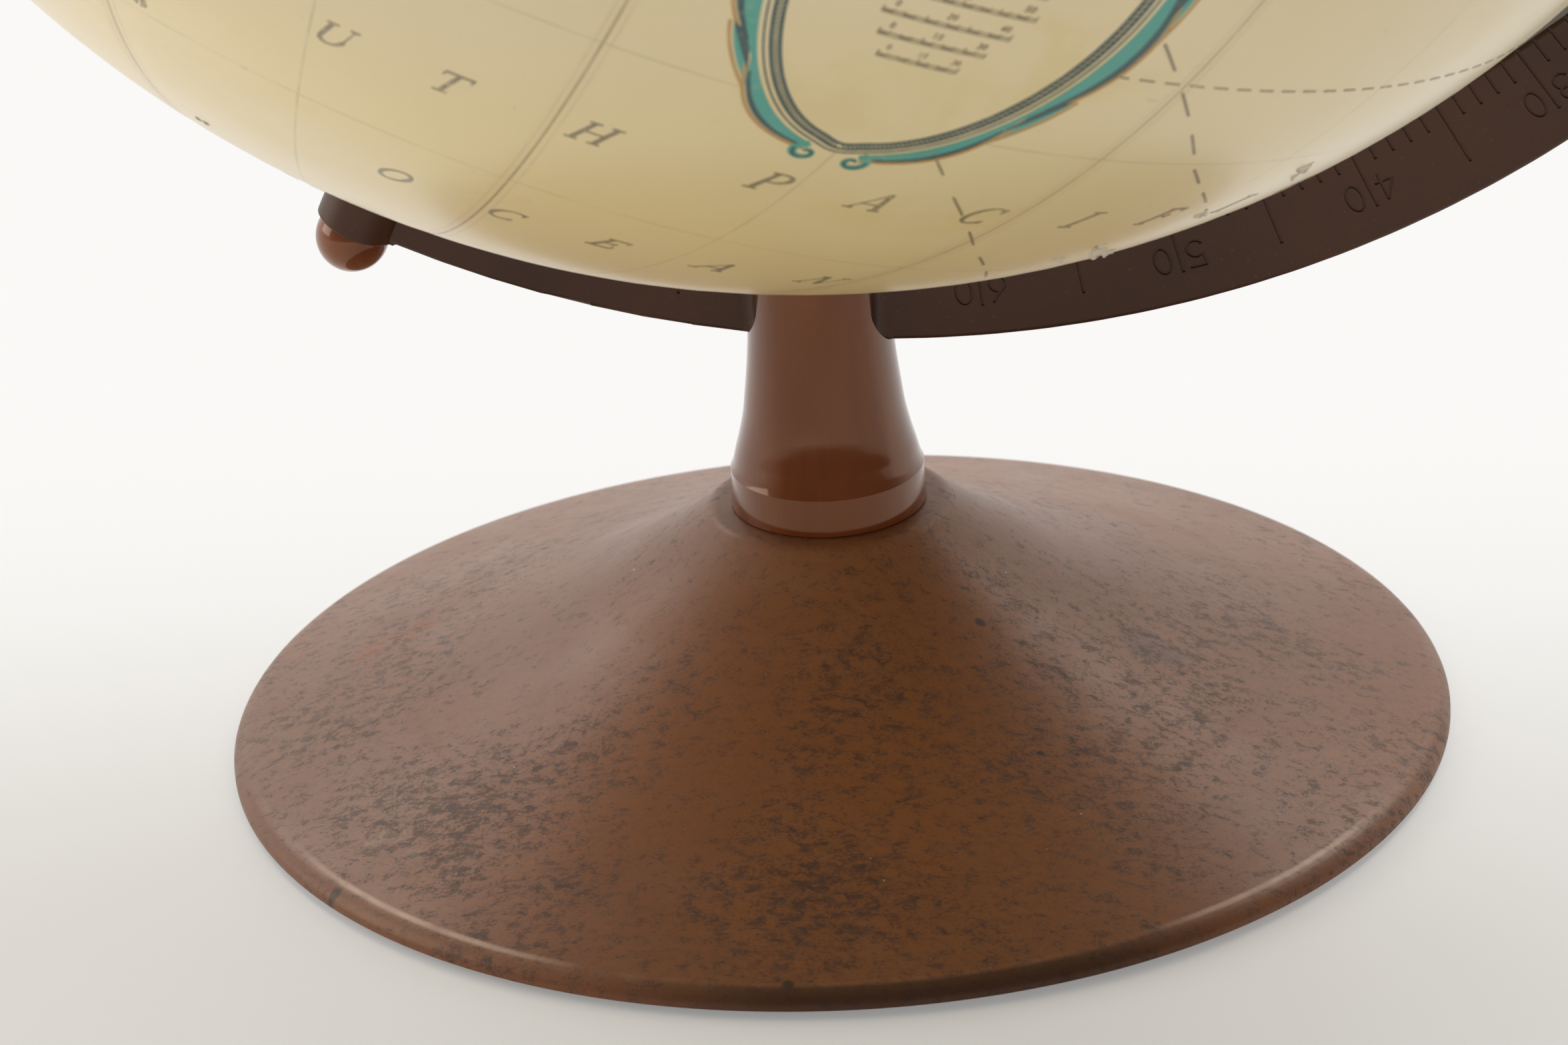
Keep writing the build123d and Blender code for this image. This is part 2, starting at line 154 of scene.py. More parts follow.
def grid_rim(rows, cols):
    """Pairs of neighbouring (row, column) points round the edge of a grid."""
    rim = [(0, j) for j in range(cols)] + [(i, cols - 1) for i in range(1, rows)]
    rim += [(rows - 1, j) for j in range(cols - 2, -1, -1)]
    rim += [(i, 0) for i in range(rows - 2, 0, -1)]
    return zip(rim, rim[1:] + rim[:1])


# ------------------------------------------------------------------ flat shapes for the print
def doubled_area(polygon):
    x, y = polygon[:, 0], polygon[:, 1]
    return np.sum(x * np.roll(y, -1) - np.roll(x, -1) * y)


def anticlockwise(polygon):
    p = np.asarray(polygon, float)
    return p if doubled_area(p) > 0 else p[::-1]


def triangulate(polygons, extra=()):
    """Triangles covering the union of simple polygons, with extra points inside."""
    points, outlines = [], []
    for polygon in polygons:
        p = anticlockwise(polygon)
        outlines.append(list(range(len(points), len(points) + len(p))))
        points.extend([(float(x), float(y)) for x, y in p])
    points.extend([(float(x), float(y)) for x, y in extra])
    out = delaunay_2d_cdt([Vector(p) for p in points], [], outlines, 0, 1e-7)
    tris = [t for t, source in zip(out[2], out[5]) if len(source) > 0 and len(t) == 3]
    return np.array([(c[0], c[1]) for c in out[0]]), tris


def chart(lat0, lon0):
    """Azimuthal equidistant chart about a local point, in degrees of arc.

    Returns the way to the chart and the way back to latitude and longitude."""
    la0 = math.radians(lat0)
    sin0, cos0 = math.sin(la0), math.cos(la0)

    def to_chart(lat, lon):
        la, lo = np.radians(np.asarray(lat, float)), np.radians(np.asarray(lon, float) - lon0)
        c = np.arccos(np.clip(sin0 * np.sin(la) + cos0 * np.cos(la) * np.cos(lo), -1, 1))
        k = np.where(c < 1e-9, 1.0, c / np.maximum(np.sin(c), 1e-9))
        x = k * np.cos(la) * np.sin(lo)
        y = k * (cos0 * np.sin(la) - sin0 * np.cos(la) * np.cos(lo))
        return np.stack([np.degrees(x), np.degrees(y)], -1)

    def to_ball(p):
        x, y = np.radians(p[:, 0]), np.radians(p[:, 1])
        c = np.hypot(x, y)
        s = np.where(c < 1e-9, 1.0, np.sin(c) / np.maximum(c, 1e-9))
        la = np.arcsin(np.clip(np.cos(c) * sin0 + y * s * cos0, -1, 1))
        lo = np.arctan2(x * s, cos0 * np.cos(c) - y * sin0 * s)
        return np.degrees(la), np.degrees(lo) + lon0

    return to_chart, to_ball


def between(a, b):
    """Quads between two paths with matching points."""
    return [[a[i], a[i + 1], b[i + 1], b[i]] for i in range(len(a) - 1)]


def ribbon(path, width, closed=False):
    """Short quads along a path; width is a number or one value a point."""
    p = np.asarray(path, float)
    w = np.full(len(p), width, float) if np.isscalar(width) else np.asarray(width, float)
    if closed:
        p = np.vstack([p, p[:1]])
        w = np.append(w, w[0])
    along = np.gradient(p, axis=0)
    if closed:
        along[0] = along[-1] = (p[1] - p[0]) + (p[-1] - p[-2])
    along /= np.maximum(np.linalg.norm(along, axis=1), 1e-12)[:, None]
    left = np.stack([-along[:, 1], along[:, 0]], 1)
    return between(p - left * w[:, None] / 2, p + left * w[:, None] / 2)


class Layer:
    """Closed thin chips of printed ink that share one material."""

    BOTTOM = -0.00008           # chips reach this far below the paper's face

    def __init__(self):
        self.verts, self.faces = [], []

    def chips(self, points, tris, to_ball, lift):
        """Triangles in a chart become a thin closed layer on the ball."""
        lats, lons = to_ball(np.asarray(points, float))
        used = sorted(set(i for t in tris for i in t))
        renumber = {u: i for i, u in enumerate(used)}
        n, first = len(used), len(self.verts)
        for height in (lift, self.BOTTOM):
            self.verts.extend(tuple(p) for p in ball_point(lats[used], lons[used], height))
        faces, edges = [], {}
        for t in tris:
            a, b, c = (renumber[i] for i in t)
            faces += [(a, b, c), (c + n, b + n, a + n)]
            edges.update(dict.fromkeys(((a, b), (b, c), (c, a))))
        faces += [(b, a, a + n, b + n) for a, b in edges if (b, a) not in edges]
        self.faces.extend(tuple(i + first for i in f) for f in faces)

    def strip(self, quads, to_ball, lift=0.00006):
        """Quads that share corners become one strip of chips."""
        number, points, tris = {}, [], []
        for quad in quads:
            ids = []
            for x, y in quad:
                key = (round(float(x), 6), round(float(y), 6))
                if key not in number:
                    number[key] = len(points)
                    points.append((float(x), float(y)))
                ids.append(number[key])
            tris += [(ids[0], ids[1], ids[2]), (ids[0], ids[2], ids[3])]
        good = []
        for t in tris:
            a, b, c = (points[i] for i in t)
            turn = (b[0] - a[0]) * (c[1] - a[1]) - (c[0] - a[0]) * (b[1] - a[1])
            if len(set(t)) == 3 and abs(turn) >= 1e-12:
                good.append(t if turn > 0 else (t[0], t[2], t[1]))
        self.chips(points, good, to_ball, lift)

    def build(self, name, material):
        ob = make(name, self.verts, self.faces, material, "globe")
        sharp_by_angle(ob, 40)


# ------------------------------------------------------------------ shader helpers
def rgb(red, green, blue):
    """Linear colour from 0-255 display values."""
    def linear(c):
        c = c / 255
        return c / 12.92 if c <= 0.04045 else ((c + 0.055) / 1.055) ** 2.4
    return (linear(red), linear(green), linear(blue), 1.0)


class Wire:
    """Output of a node. Arithmetic on it adds Math nodes."""

    def __init__(self, shader, socket):
        self.shader, self.socket = shader, socket

    def __add__(self, other):
        return self.shader.math("ADD", self, other)

    def __sub__(self, other):
        return self.shader.math("SUBTRACT", self, other)

    def __rsub__(self, other):
        return self.shader.math("SUBTRACT", other, self)

    def __mul__(self, other):
        return self.shader.math("MULTIPLY", self, other)

    def __truediv__(self, other):
        return self.shader.math("DIVIDE", self, other)

    def __mod__(self, other):
        return self.shader.math("MODULO", self, other)

    def __abs__(self):
        return self.shader.math("ABSOLUTE", self)

    def fade(self, span, out=(0.0, 1.0)):
        """Smooth step over the span of this value, which may fall, to the out values."""
        node = self.shader.add("MapRange", self, *span, *out, interpolation_type="SMOOTHSTEP")
        return Wire(self.shader, node.outputs[0])


class Shader:
    """Builder of the node tree of a material or a world."""

    INPUTS = {
        "color": "Base Color", "rough": "Roughness", "metal": "Metallic", "normal": "Normal",
        "coat": "Coat Weight", "coat_rough": "Coat Roughness", "coat_normal": "Coat Normal",
        "spec": "Specular IOR Level", "tint": "Specular Tint",
    }

    def __init__(self, owner):
        owner.use_nodes = True
        self.owner, self.tree = owner, owner.node_tree
        self.coords = self.add("TexCoord")
        self.obj = Wire(self, self.coords.outputs["Object"])

    def find(self, kind):
        return next(n for n in self.tree.nodes if n.type == kind)

    def put(self, socket, value):
        if isinstance(value, Wire):
            self.tree.links.new(value.socket, socket)
        else:
            socket.default_value = value

    def add(self, kind, *values, **settings):
        """New node; the values fill its first inputs."""
        node = self.tree.nodes.new("ShaderNode" + kind)
        for key, value in settings.items():
            setattr(node, key, value)
        for socket, value in zip(node.inputs, values):
            self.put(socket, value)
        return node

    def math(self, operation, *values):
        return Wire(self, self.add("Math", *values, operation=operation).outputs[0])

    def vector(self, operation, *values):
        node = self.add("VectorMath", *values, operation=operation)
        single = operation in ("DOT_PRODUCT", "LENGTH")
        return Wire(self, node.outputs["Value" if single else "Vector"])

    def scaled(self, vector, scale):
        node = self.add("VectorMath", vector, operation="SCALE")
        node.inputs["Scale"].default_value = scale
        return Wire(self, node.outputs[0])

    def stretch(self, x, y, z):
        """Object coordinates multiplied along each axis."""
        return self.vector("MULTIPLY", self.obj, (x, y, z))

    def separate(self, value):
        return [Wire(self, out) for out in self.add("SeparateXYZ", value).outputs]

    def noise(self, scale, detail=4, rough=0.6, warp=0.0, at=None):
        node = self.add("TexNoise")
        self.put(node.inputs["Vector"], at or self.obj)
        node.inputs["Scale"].default_value = scale
        node.inputs["Detail"].default_value = detail
        node.inputs["Roughness"].default_value = rough
        node.inputs["Distortion"].default_value = warp
        return Wire(self, node.outputs["Fac"])

    def voronoi(self, scale, at, feature, out):
        node = self.add("TexVoronoi", feature=feature)
        self.put(node.inputs["Vector"], at)
        node.inputs["Scale"].default_value = scale
        return Wire(self, node.outputs[out])

    def ramp(self, value, stops, interpolation="LINEAR"):
        node = self.add("ValToRGB", value)
        node.color_ramp.interpolation = interpolation
        elements = node.color_ramp.elements
        while len(elements) < len(stops):
            elements.new(0.5)
        for element, (position, colour) in zip(elements, stops):
            element.position = position
            element.color = rgb(*colour)
        return Wire(self, node.outputs[0])

    def mix(self, factor, a, b):
        node = self.add("Mix", factor, data_type="RGBA")
        self.put(node.inputs[6], a)
        self.put(node.inputs[7], b)
        return Wire(self, node.outputs[2])

    def over(self, base, colour, mask, amount=None):
        """Display colour laid over the base where the mask says, at most by the amount."""
        return self.mix(mask if amount is None else mask * amount, base, rgb(*colour))

    def bump(self, height, strength, distance):
        node = self.add("Bump")
        self.put(node.inputs["Height"], height)
        node.inputs["Strength"].default_value = strength
        node.inputs["Distance"].default_value = distance
        return Wire(self, node.outputs[0])

    def finish(self, **values):
        """Sets the surface and returns the material."""
        surface = self.find("BSDF_PRINCIPLED")
        for key, value in values.items():
            self.put(surface.inputs[self.INPUTS[key]], value)
        return self.owner


def material_shader(name):
    return Shader(bpy.data.materials.new(name))


# ------------------------------------------------------------------ materials of the map
def map_angles(shader):
    """Local latitude and longitude in degrees, and the sine of the latitude."""
    spoke = shader.vector("SUBTRACT", shader.obj, tuple(CENTRE))
    x = shader.vector("DOT_PRODUCT", spoke, tuple(LON_0))
    y = shader.vector("DOT_PRODUCT", spoke, tuple(LON_90))
    z = shader.vector("DOT_PRODUCT", spoke, tuple(AXLE))
    lon = shader.math("ARCTAN2", y, x) * (180 / math.pi)
    sine = z / shader.vector("LENGTH", spoke)
    return shader.math("ARCSINE", sine) * (180 / math.pi), lon, sine


def cosine(shader, sine):
    return shader.math("SQRT", shader.math("MAXIMUM", 1.0 - sine * sine, 0.0))


def line_every(angle, every, offset, cos_lat=None):
    """Distance in millimetres to the nearest line of a set this many degrees apart."""
    whole_turns = 7200.0        # keeps the modulo positive
    from_line = (angle + (every / 2 - offset + whole_turns)) % every - every / 2
    distance = abs(from_line) * MM
    return distance if cos_lat is None else distance * cos_lat


def graticule(shader, lat, lon, cos_lat, span):
    meridians = line_every(lon, GRATICULE, SEAM0 + GRATICULE, cos_lat).fade(span=span)
    parallels = line_every(lat, GRATICULE, 0.0).fade(span=span)
    return shader.math("MAXIMUM", meridians, parallels)


def varnish(shader, colour):
    """Old varnished paper: fibre under a slightly orange-peeled coat."""
    peel = shader.noise(scale=260, detail=2, rough=0.5)
    fibre = shader.noise(scale=2600, detail=2)
    bump = shader.bump(peel * 0.6 + fibre * 0.12, strength=0.25, distance=0.00012)
    rough = shader.noise(scale=34) * 0.22 + 0.31
    return shader.finish(color=colour, rough=rough, normal=bump, coat=0.62, coat_rough=0.22,
                         coat_normal=bump, spec=0.4)


def sea_material():
    """Cream sea with yellowed blotches, age toning, painted light towards the south, brown flecks, graticule and
    seams.
    """
    sh = material_shader("paper_sea")
    lat, lon, sine = map_angles(sh)
    cos_lat = cosine(sh, sine)
    colour = sh.ramp(
        sh.noise(scale=9, rough=0.55, warp=0.4),
        [(0.30, (222, 203, 160)), (0.5, (229, 212, 174)), (0.72, (234, 220, 188))],
    )
    blotch = sh.noise(scale=17, detail=5, rough=0.62, warp=1.2) * sh.noise(scale=38, warp=0.8)
    colour = sh.over(colour, (216, 190, 128), blotch.fade(span=(0.27, 0.40)), amount=0.42)
    # painted light: the paper is painted paler towards the south, standing in for light thrown up from below
    south = lat.fade(span=(-28.0, -48.0))
    colour = sh.over(colour, (250, 226, 164), south, amount=0.62)
    east = lon.fade(span=(-100.0, -62.0)) * lat.fade(span=(2.0, -34.0))
    colour = sh.over(colour, (224, 200, 132), east, amount=0.42)
    streak = sh.noise(scale=1, detail=5, rough=0.65, warp=1.5, at=sh.stretch(60.0, 18.0, 240.0))
    colour = sh.over(colour, (190, 158, 96), streak.fade(span=(0.62, 0.76)), amount=0.16)
    fleck = sh.noise(scale=420, detail=2, rough=0.5).fade(span=(0.74, 0.80))
    colour = sh.over(colour, (150, 116, 70), fleck, amount=0.20)

    # graticule, printed thin and worn, and left out round the cartouche
    wear = sh.noise(scale=120, detail=3).fade(span=(0.30, 0.62), out=(0.35, 1.0))
    lines = graticule(sh, lat, lon, cos_lat, span=(0.26, 0.08))
    clear_lon, clear_lat = 9.4, 15.6        # half width and half height of the gap, degrees
    x = (lon - CARTOUCHE_LON) * cos_lat * (1 / clear_lon)
    y = (lat - CARTOUCHE_LAT) * (1 / clear_lat)
    clear = (x * x + y * y).fade(span=(0.96, 1.04))
    colour = sh.over(colour, (150, 130, 98), lines * wear * clear, amount=0.34)

    # seams: a thin red-brown line, a fainter one beside it and a slightly toned overlap
    wobble = (sh.noise(scale=60, detail=3) - 0.5) * 0.30
    seam = line_every(lon, GORE_WIDTH, SEAM0, cos_lat) + wobble
    wear = sh.noise(scale=200, detail=3).fade(span=(0.34, 0.60), out=(0.45, 1.0))
    colour = sh.over(colour, (166, 128, 100), seam.fade(span=(0.34, 0.10)) * wear, amount=0.34)
    second = seam.fade(span=(1.25, 1.05)) * seam.fade(span=(0.75, 0.95)) * wear
    colour = sh.over(colour, (168, 130, 100), second, amount=0.20)
    colour = sh.over(colour, (196, 166, 118), seam.fade(span=(2.6, 0.4)), amount=0.08)
    return varnish(sh, colour)


def land_material():
    """Patches of tan, ochre, rose and olive with brown borders, relief and graticule."""
    sh = material_shader("paper_land")
    lat, lon, sine = map_angles(sh)
    cos_lat = cosine(sh, sine)
    shift = sh.add("CombineXYZ", *(sh.noise(scale=scale) for scale in (26, 31, 22)))
    warped = sh.vector("ADD", sh.obj, sh.scaled(Wire(sh, shift.outputs[0]), scale=0.035))
    patch = sh.voronoi(scale=26, at=warped, feature="F1", out="Color")
    colour = sh.ramp(
        sh.separate(patch)[0],
        [(0.0, (214, 184, 122)), (0.18, (200, 160, 104)), (0.36, (206, 170, 140)),
         (0.54, (182, 176, 118)), (0.72, (222, 198, 142)), (0.88, (196, 150, 118))],
        "CONSTANT",
    )
    border = sh.voronoi(scale=26, at=warped, feature="DISTANCE_TO_EDGE", out="Distance")
    colour = sh.over(colour, (140, 100, 66), border.fade(span=(0.035, 0.012)))
    relief = sh.noise(scale=170, detail=5, rough=0.65, warp=0.6).fade(span=(0.54, 0.70))
    colour = sh.over(colour, (150, 114, 72), relief, amount=0.35)
    age = sh.noise(scale=20).fade(span=(0.5, 0.75))
    colour = sh.over(colour, (226, 204, 156), age, amount=0.3)
    lines = graticule(sh, lat, lon, cos_lat, span=(0.28, 0.12))
    colour = sh.over(colour, (110, 84, 58), lines, amount=0.3)
    return varnish(sh, colour)


def ink_material(name, dark, light, wear):
    """Printed ink, worn so that the paper's cream shows through."""
    sh = material_shader(name)
    fine = sh.noise(scale=900, detail=3, rough=0.65)
    broad = sh.noise(scale=70, detail=3)
    colour = sh.mix(broad, rgb(*dark), rgb(*light))
    worn = (fine * 0.6 + broad * 0.4).fade(span=(0.5, 0.68))
    return varnish(sh, sh.over(colour, (214, 194, 150), worn, amount=wear))


def band_material():
    """Equator strip: cream with a graduated brown border. Distances from its middle in mm."""
    sh = material_shader("paper_band")
    lat, lon, _ = map_angles(sh)
    colour = sh.mix(sh.noise(scale=40), rgb(222, 196, 140), rgb(200, 168, 108))
    y = lat * MM
    off = abs(y)
    first_five = sh.math("LESS_THAN", (lon + (7200.0 - SEAM0)) % 10.0, 5.0)
    check = abs(first_five - sh.math("GREATER_THAN", y, 0.0))
    zebra = check * (off.fade(span=(1.55, 1.45)) * off.fade(span=(0.25, 0.35)))
    colour = sh.over(colour, (106, 66, 42), zebra, amount=0.8)
    rail = off.fade(span=(1.95, 1.85)) * off.fade(span=(1.55, 1.65))
    rails = sh.math("MAXIMUM", rail, off.fade(span=(0.22, 0.12)))
    colour = sh.over(colour, (92, 60, 40), rails, amount=0.75)
    colour = sh.over(colour, (150, 112, 70), off.fade(span=(2.75, 2.95)), amount=0.7)
    wear = sh.noise(scale=300, detail=3).fade(span=(0.56, 0.74))
    return varnish(sh, sh.over(colour, (220, 198, 150), wear, amount=0.4))


# ------------------------------------------------------------------ materials of the stand
def arm_material():
    """Fine satin moulded plastic, dark brown, with handling polish and faint scuffs."""
    sh = material_shader("arm_satin_plastic")
    colour = sh.mix(sh.noise(scale=30).fade(span=(0.35, 0.7)), rgb(56, 35, 27), rgb(72, 46, 35))
    dust = sh.noise(scale=1400, detail=2, rough=0.5).fade(span=(0.66, 0.78))
    colour = sh.over(colour, (128, 104, 88), dust, amount=0.22)
    scuff = sh.noise(scale=1, detail=3, rough=0.7, warp=0.4, at=sh.stretch(900.0, 300.0, 140.0))
    colour = sh.over(colour, (140, 112, 92), scuff.fade(span=(0.70, 0.74)), amount=0.15)
    grain = sh.noise(scale=1900, detail=3)
    waves = sh.noise(scale=120, detail=2, rough=0.55)
    bump = sh.bump(grain * 0.5 + waves * 0.8, strength=0.35, distance=0.00006)
    return sh.finish(color=colour, rough=sh.noise(scale=60) * 0.20 + 0.30, normal=bump, spec=0.5,
                     tint=(1.0, 0.80, 0.68, 1.0), coat=0.03, coat_rough=0.25)


def gloss_material(name, dark, mid, coat):
    """Glossy moulded plastic with swirled pigment, flow lines and fine dust."""
    sh = material_shader(name)
    flow = sh.noise(scale=1, warp=1.0, at=sh.stretch(70.0, 70.0, 18.0))
    colour = sh.mix(flow.fade(span=(0.3, 0.72)), rgb(*dark), rgb(*mid))
    speck = sh.noise(scale=1600, detail=2, rough=0.5).fade(span=(0.74, 0.80))
    colour = sh.over(colour, (40, 26, 20), speck, amount=0.35)
    dust = sh.noise(scale=700, detail=2).fade(span=(0.62, 0.76))
    rough = dust * 0.10 + (sh.noise(scale=45) * 0.12 + 0.05)
    waves = sh.noise(scale=150, detail=2, rough=0.5)
    grain = sh.noise(scale=1800, detail=2, rough=0.55)
    bump = sh.bump(waves * 0.7 + grain * 0.06, strength=0.12, distance=0.00010)
    return sh.finish(color=colour, rough=rough, normal=bump, coat=coat, coat_rough=0.06,
                     spec=0.70, tint=(1.0, 0.66, 0.42, 1.0))


def dish_material():
    """Antiqued satin paint on pressed steel: warm brown, violet-grey flecks in drifts,
    painted sheen at the back and left, a few rust spots, a painted highlight and painted shade on the rim. Places
    are in metres, seen from above."""
    sh = material_shader("antiqued_brown_paint")
    x, y, _ = sh.separate(sh.obj)
    radius = sh.math("SQRT", x * x + y * y)

    def blob(cx, cy, rx, ry, turn=0.0, ragged=2.2, core=0.35):
        """Ragged-edged oval mask; core is where, towards its middle, it is full."""
        dx, dy = x - cx, y - cy
        c, s = math.cos(turn), math.sin(turn)
        u = dx * (c / rx) + dy * (s / rx)
        v = dx * (-s / ry) + dy * (c / ry)
        q = u * u + v * v + (sh.noise(scale=240, rough=0.65) - 0.5) * ragged
        return q.fade(span=(1.0, core))

    broad = sh.noise(scale=16, detail=5, warp=0.6).fade(span=(0.32, 0.68))
    colour = sh.mix(broad, rgb(116, 72, 46), rgb(126, 78, 44))
    cloud = sh.noise(scale=60, detail=5, rough=0.62, warp=0.5).fade(span=(0.46, 0.72))
    colour = sh.over(colour, (124, 86, 64), cloud, amount=0.40)
    # orange-brown undercoat showing through in the middle of the front
    undercoat = blob(0.010, -0.040, 0.060, 0.036, turn=0.1, ragged=0.9, core=0.0)
    colour = sh.over(colour, (130, 78, 38), undercoat, amount=0.42)

    # violet-grey flecks: small specks gathered into clumps, the clumps into drifts
    wiped = sh.stretch(1.0, 1.5, 1.3)
    speck = sh.noise(scale=1700, rough=0.65, warp=0.2, at=wiped)
    clump = sh.noise(scale=430, rough=0.64, warp=0.4, at=wiped)
    drift = sh.noise(scale=30, warp=0.6)
    front_left = blob(-0.048, -0.050, 0.034, 0.020, turn=-0.45, ragged=0.8, core=-0.3)
    front = blob(0.000, -0.072, 0.050, 0.014, ragged=0.8, core=-0.3)
    left = blob(-0.066, -0.010, 0.018, 0.030, ragged=0.8, core=-0.3)
    load = (drift - 0.5) * 0.26 + (front_left * 0.085 + (front * 0.060 + left * 0.050))
    density = speck * 0.46 + clump * 0.54 + load
    veil = density.fade(span=(0.455, 0.600))
    colour = sh.over(colour, (90, 60, 44), veil, amount=0.42)
    tiny = sh.noise(scale=2600, detail=3, rough=0.65, warp=0.2, at=wiped)
    tiny = (tiny * 0.72 + (clump + load) * 0.28).fade(span=(0.545, 0.610))
    colour = sh.over(colour, (78, 54, 44), tiny, amount=0.52)
    spots = density.fade(span=(0.545, 0.600))
    colour = sh.over(colour, (74, 50, 42), spots, amount=0.56)
    heavy = sh.noise(scale=620, rough=0.62, warp=0.3, at=wiped)
    heavy = (heavy * 0.5 + clump * 0.5 + load * 1.15).fade(span=(0.600, 0.655))
    colour = sh.over(colour, (60, 42, 38), heavy, amount=0.62)
    fine = sh.noise(scale=1700, detail=3, warp=0.2, at=wiped).fade(span=(0.61, 0.70))
    colour = sh.over(colour, (80, 56, 48), fine, amount=0.30)
    pale = sh.noise(scale=1300, detail=2, rough=0.55, at=wiped).fade(span=(0.66, 0.74))
    colour = sh.over(colour, (150, 116, 92), pale, amount=0.22)

    # painted sheen of the bright back: paler towards the back and left, broken into patches
    painted_back_sheen = (y * 1.0 - x * 0.5).fade(span=(-0.05, 0.10))
    patchy = sh.noise(scale=48, detail=5, rough=0.65, warp=0.4)
    painted_back_sheen = painted_back_sheen * patchy.fade(span=(0.30, 0.66), out=(0.35, 1.0))
    colour = sh.over(colour, (158, 136, 124), painted_back_sheen, amount=0.30)

    # rust spots by the left crease, bruise on the right, single specks and smears
    rust = blob(-0.0665, 0.006, 0.0085, 0.004, turn=0.5)
    rust = rust * sh.noise(scale=620, detail=3).fade(span=(0.46, 0.58))
    colour = sh.over(colour, (140, 74, 32), rust, amount=0.75)
    colour = sh.over(colour, (66, 42, 40), blob(0.0465, -0.010, 0.0062, 0.0046), amount=0.48)
    for cx, cy, r in (
        (0.0234, -0.0204, 0.0009), (0.0024, -0.0867, 0.0011),
        (-0.0644, -0.0605, 0.0012), (0.0332, -0.0405, 0.0006),
    ):
        colour = sh.over(colour, (34, 30, 36), blob(cx, cy, r, r * 0.8, ragged=1.2), amount=0.8)
    for cx, cy, rx, ry in (
        (-0.0585, -0.0508, 0.0040, 0.0018), (-0.0611, -0.0524, 0.0022, 0.0016),
        (-0.0536, -0.0561, 0.0024, 0.0014),
    ):
        broken = sh.noise(scale=420, detail=3, rough=0.55).fade(span=(0.42, 0.60))
        smear = blob(cx, cy, rx, ry, turn=-0.3) * broken
        colour = sh.over(colour, (138, 122, 98), smear, amount=0.32)
    fleck = sh.noise(scale=760, detail=1, rough=0.4).fade(span=(0.825, 0.845))
    colour = sh.over(colour, (190, 178, 160), fleck, amount=0.7)

    # paint worn thinner and paler on the rim's shoulder
    rim = radius.fade(span=(0.0862, 0.0868)) * radius.fade(span=(0.0881, 0.0874))
    worn = sh.noise(scale=260).fade(span=(0.36, 0.6))
    colour = sh.over(colour, (168, 136, 118), rim * worn, amount=0.10)
    # painted highlight: the shoulder is painted bright along the left front and the right front, standing in for
    # the glint of the lamps at the back
    line = radius.fade(span=(0.0860, 0.0866)) * radius.fade(span=(0.0874, 0.0868))
    sides = (x.fade(span=(-0.024, -0.040)) * x.fade(span=(-0.074, -0.060))
             + x.fade(span=(0.048, 0.060)) * x.fade(span=(0.082, 0.072)))
    patchy = sh.noise(scale=200).fade(span=(0.25, 0.60), out=(0.55, 1.0))
    painted_rim_highlight = line * sides * (y.fade(span=(-0.030, -0.040)) * patchy)
    colour = sh.over(colour, (205, 176, 158), painted_rim_highlight, amount=0.62)
    # painted shade: the lip under it is painted darker from the middle of the front to the right
    painted_lip_shade = y.fade(span=(-0.060, -0.080)) * x.fade(span=(-0.030, 0.004))
    lip = radius.fade(span=(0.0868, 0.0876)) * painted_lip_shade
    colour = sh.over(colour, (50, 31, 23), lip, amount=0.80)

    grain = sh.noise(scale=2300, detail=3, rough=0.65)
    pits = sh.noise(scale=420)
    height = grain * 0.45 + pits * 0.7 - spots * 0.12
    return sh.finish(
        color=colour, rough=sh.noise(scale=80) * 0.16 + 0.34 + spots * 0.14,
        normal=sh.bump(height, strength=0.36, distance=0.00010), spec=0.50,
        tint=(1.0, 0.78, 0.62, 1.0), coat=0.06, coat_rough=sh.noise(scale=110) * 0.16 + 0.14,
    )


def metal_material(name, colour, rough, brushing=(400.0, 400.0, 400.0)):
    """Brushed metal with a little tarnish."""
    sh = material_shader(name)
    brushed = sh.noise(scale=1, rough=0.7, warp=0.2, at=sh.stretch(*brushing))
    mixed = sh.mix(brushed, rgb(*colour), rgb(*(int(v * 0.78) for v in colour)))
    tarnish = sh.noise(scale=160).fade(span=(0.52, 0.72))
    mixed = sh.over(mixed, (120, 104, 84), tarnish, amount=0.3)
    rough = sh.noise(scale=300, detail=3, rough=0.55) * 0.2 + rough
    bump = sh.bump(brushed, strength=0.25, distance=0.00004)
    return sh.finish(color=mixed, metal=1.0, rough=rough, normal=bump)


def board_material(name, dark, light):
    sh = material_shader(name)
    fibre = sh.noise(scale=1, rough=0.7, warp=0.6, at=sh.stretch(500.0, 900.0, 500.0))
    colour = sh.mix(fibre, rgb(*dark), rgb(*light))
    speck = sh.noise(scale=700, detail=3, rough=0.55).fade(span=(0.6, 0.75), out=(0.0, 0.5))
    bump = sh.bump(fibre, strength=0.5, distance=0.0002)
    return sh.finish(color=sh.over(colour, (84, 66, 46), speck), rough=0.85, normal=bump, spec=0.2)


def torn_material():
    """Raw torn paper, off-white fibre with brown toning."""
    sh = material_shader("torn_paper")
    fibre = sh.noise(scale=1, rough=0.7, warp=0.6, at=sh.stretch(1400.0, 900.0, 1600.0))
    colour = sh.mix(fibre, rgb(222, 214, 198), rgb(196, 182, 156))
    toned = sh.noise(scale=900, detail=3, rough=0.55).fade(span=(0.52, 0.70), out=(0.0, 0.5))
    bump = sh.bump(fibre, strength=0.6, distance=0.0002)
    return sh.finish(color=sh.over(colour, (150, 124, 92), toned), rough=0.8, normal=bump,
                     spec=0.25)


def vinyl_material():
    sh = material_shader("black_vinyl")
    grain = sh.noise(scale=700)
    dust = sh.noise(scale=900, detail=2, rough=0.55).fade(span=(0.68, 0.76), out=(0.0, 0.4))
    colour = sh.over(sh.mix(grain, rgb(18, 18, 20), rgb(38, 36, 36)), (96, 90, 84), dust)
    bump = sh.bump(grain, strength=0.4, distance=0.0001)
    return sh.finish(color=colour, rough=0.55, normal=bump, spec=0.4)


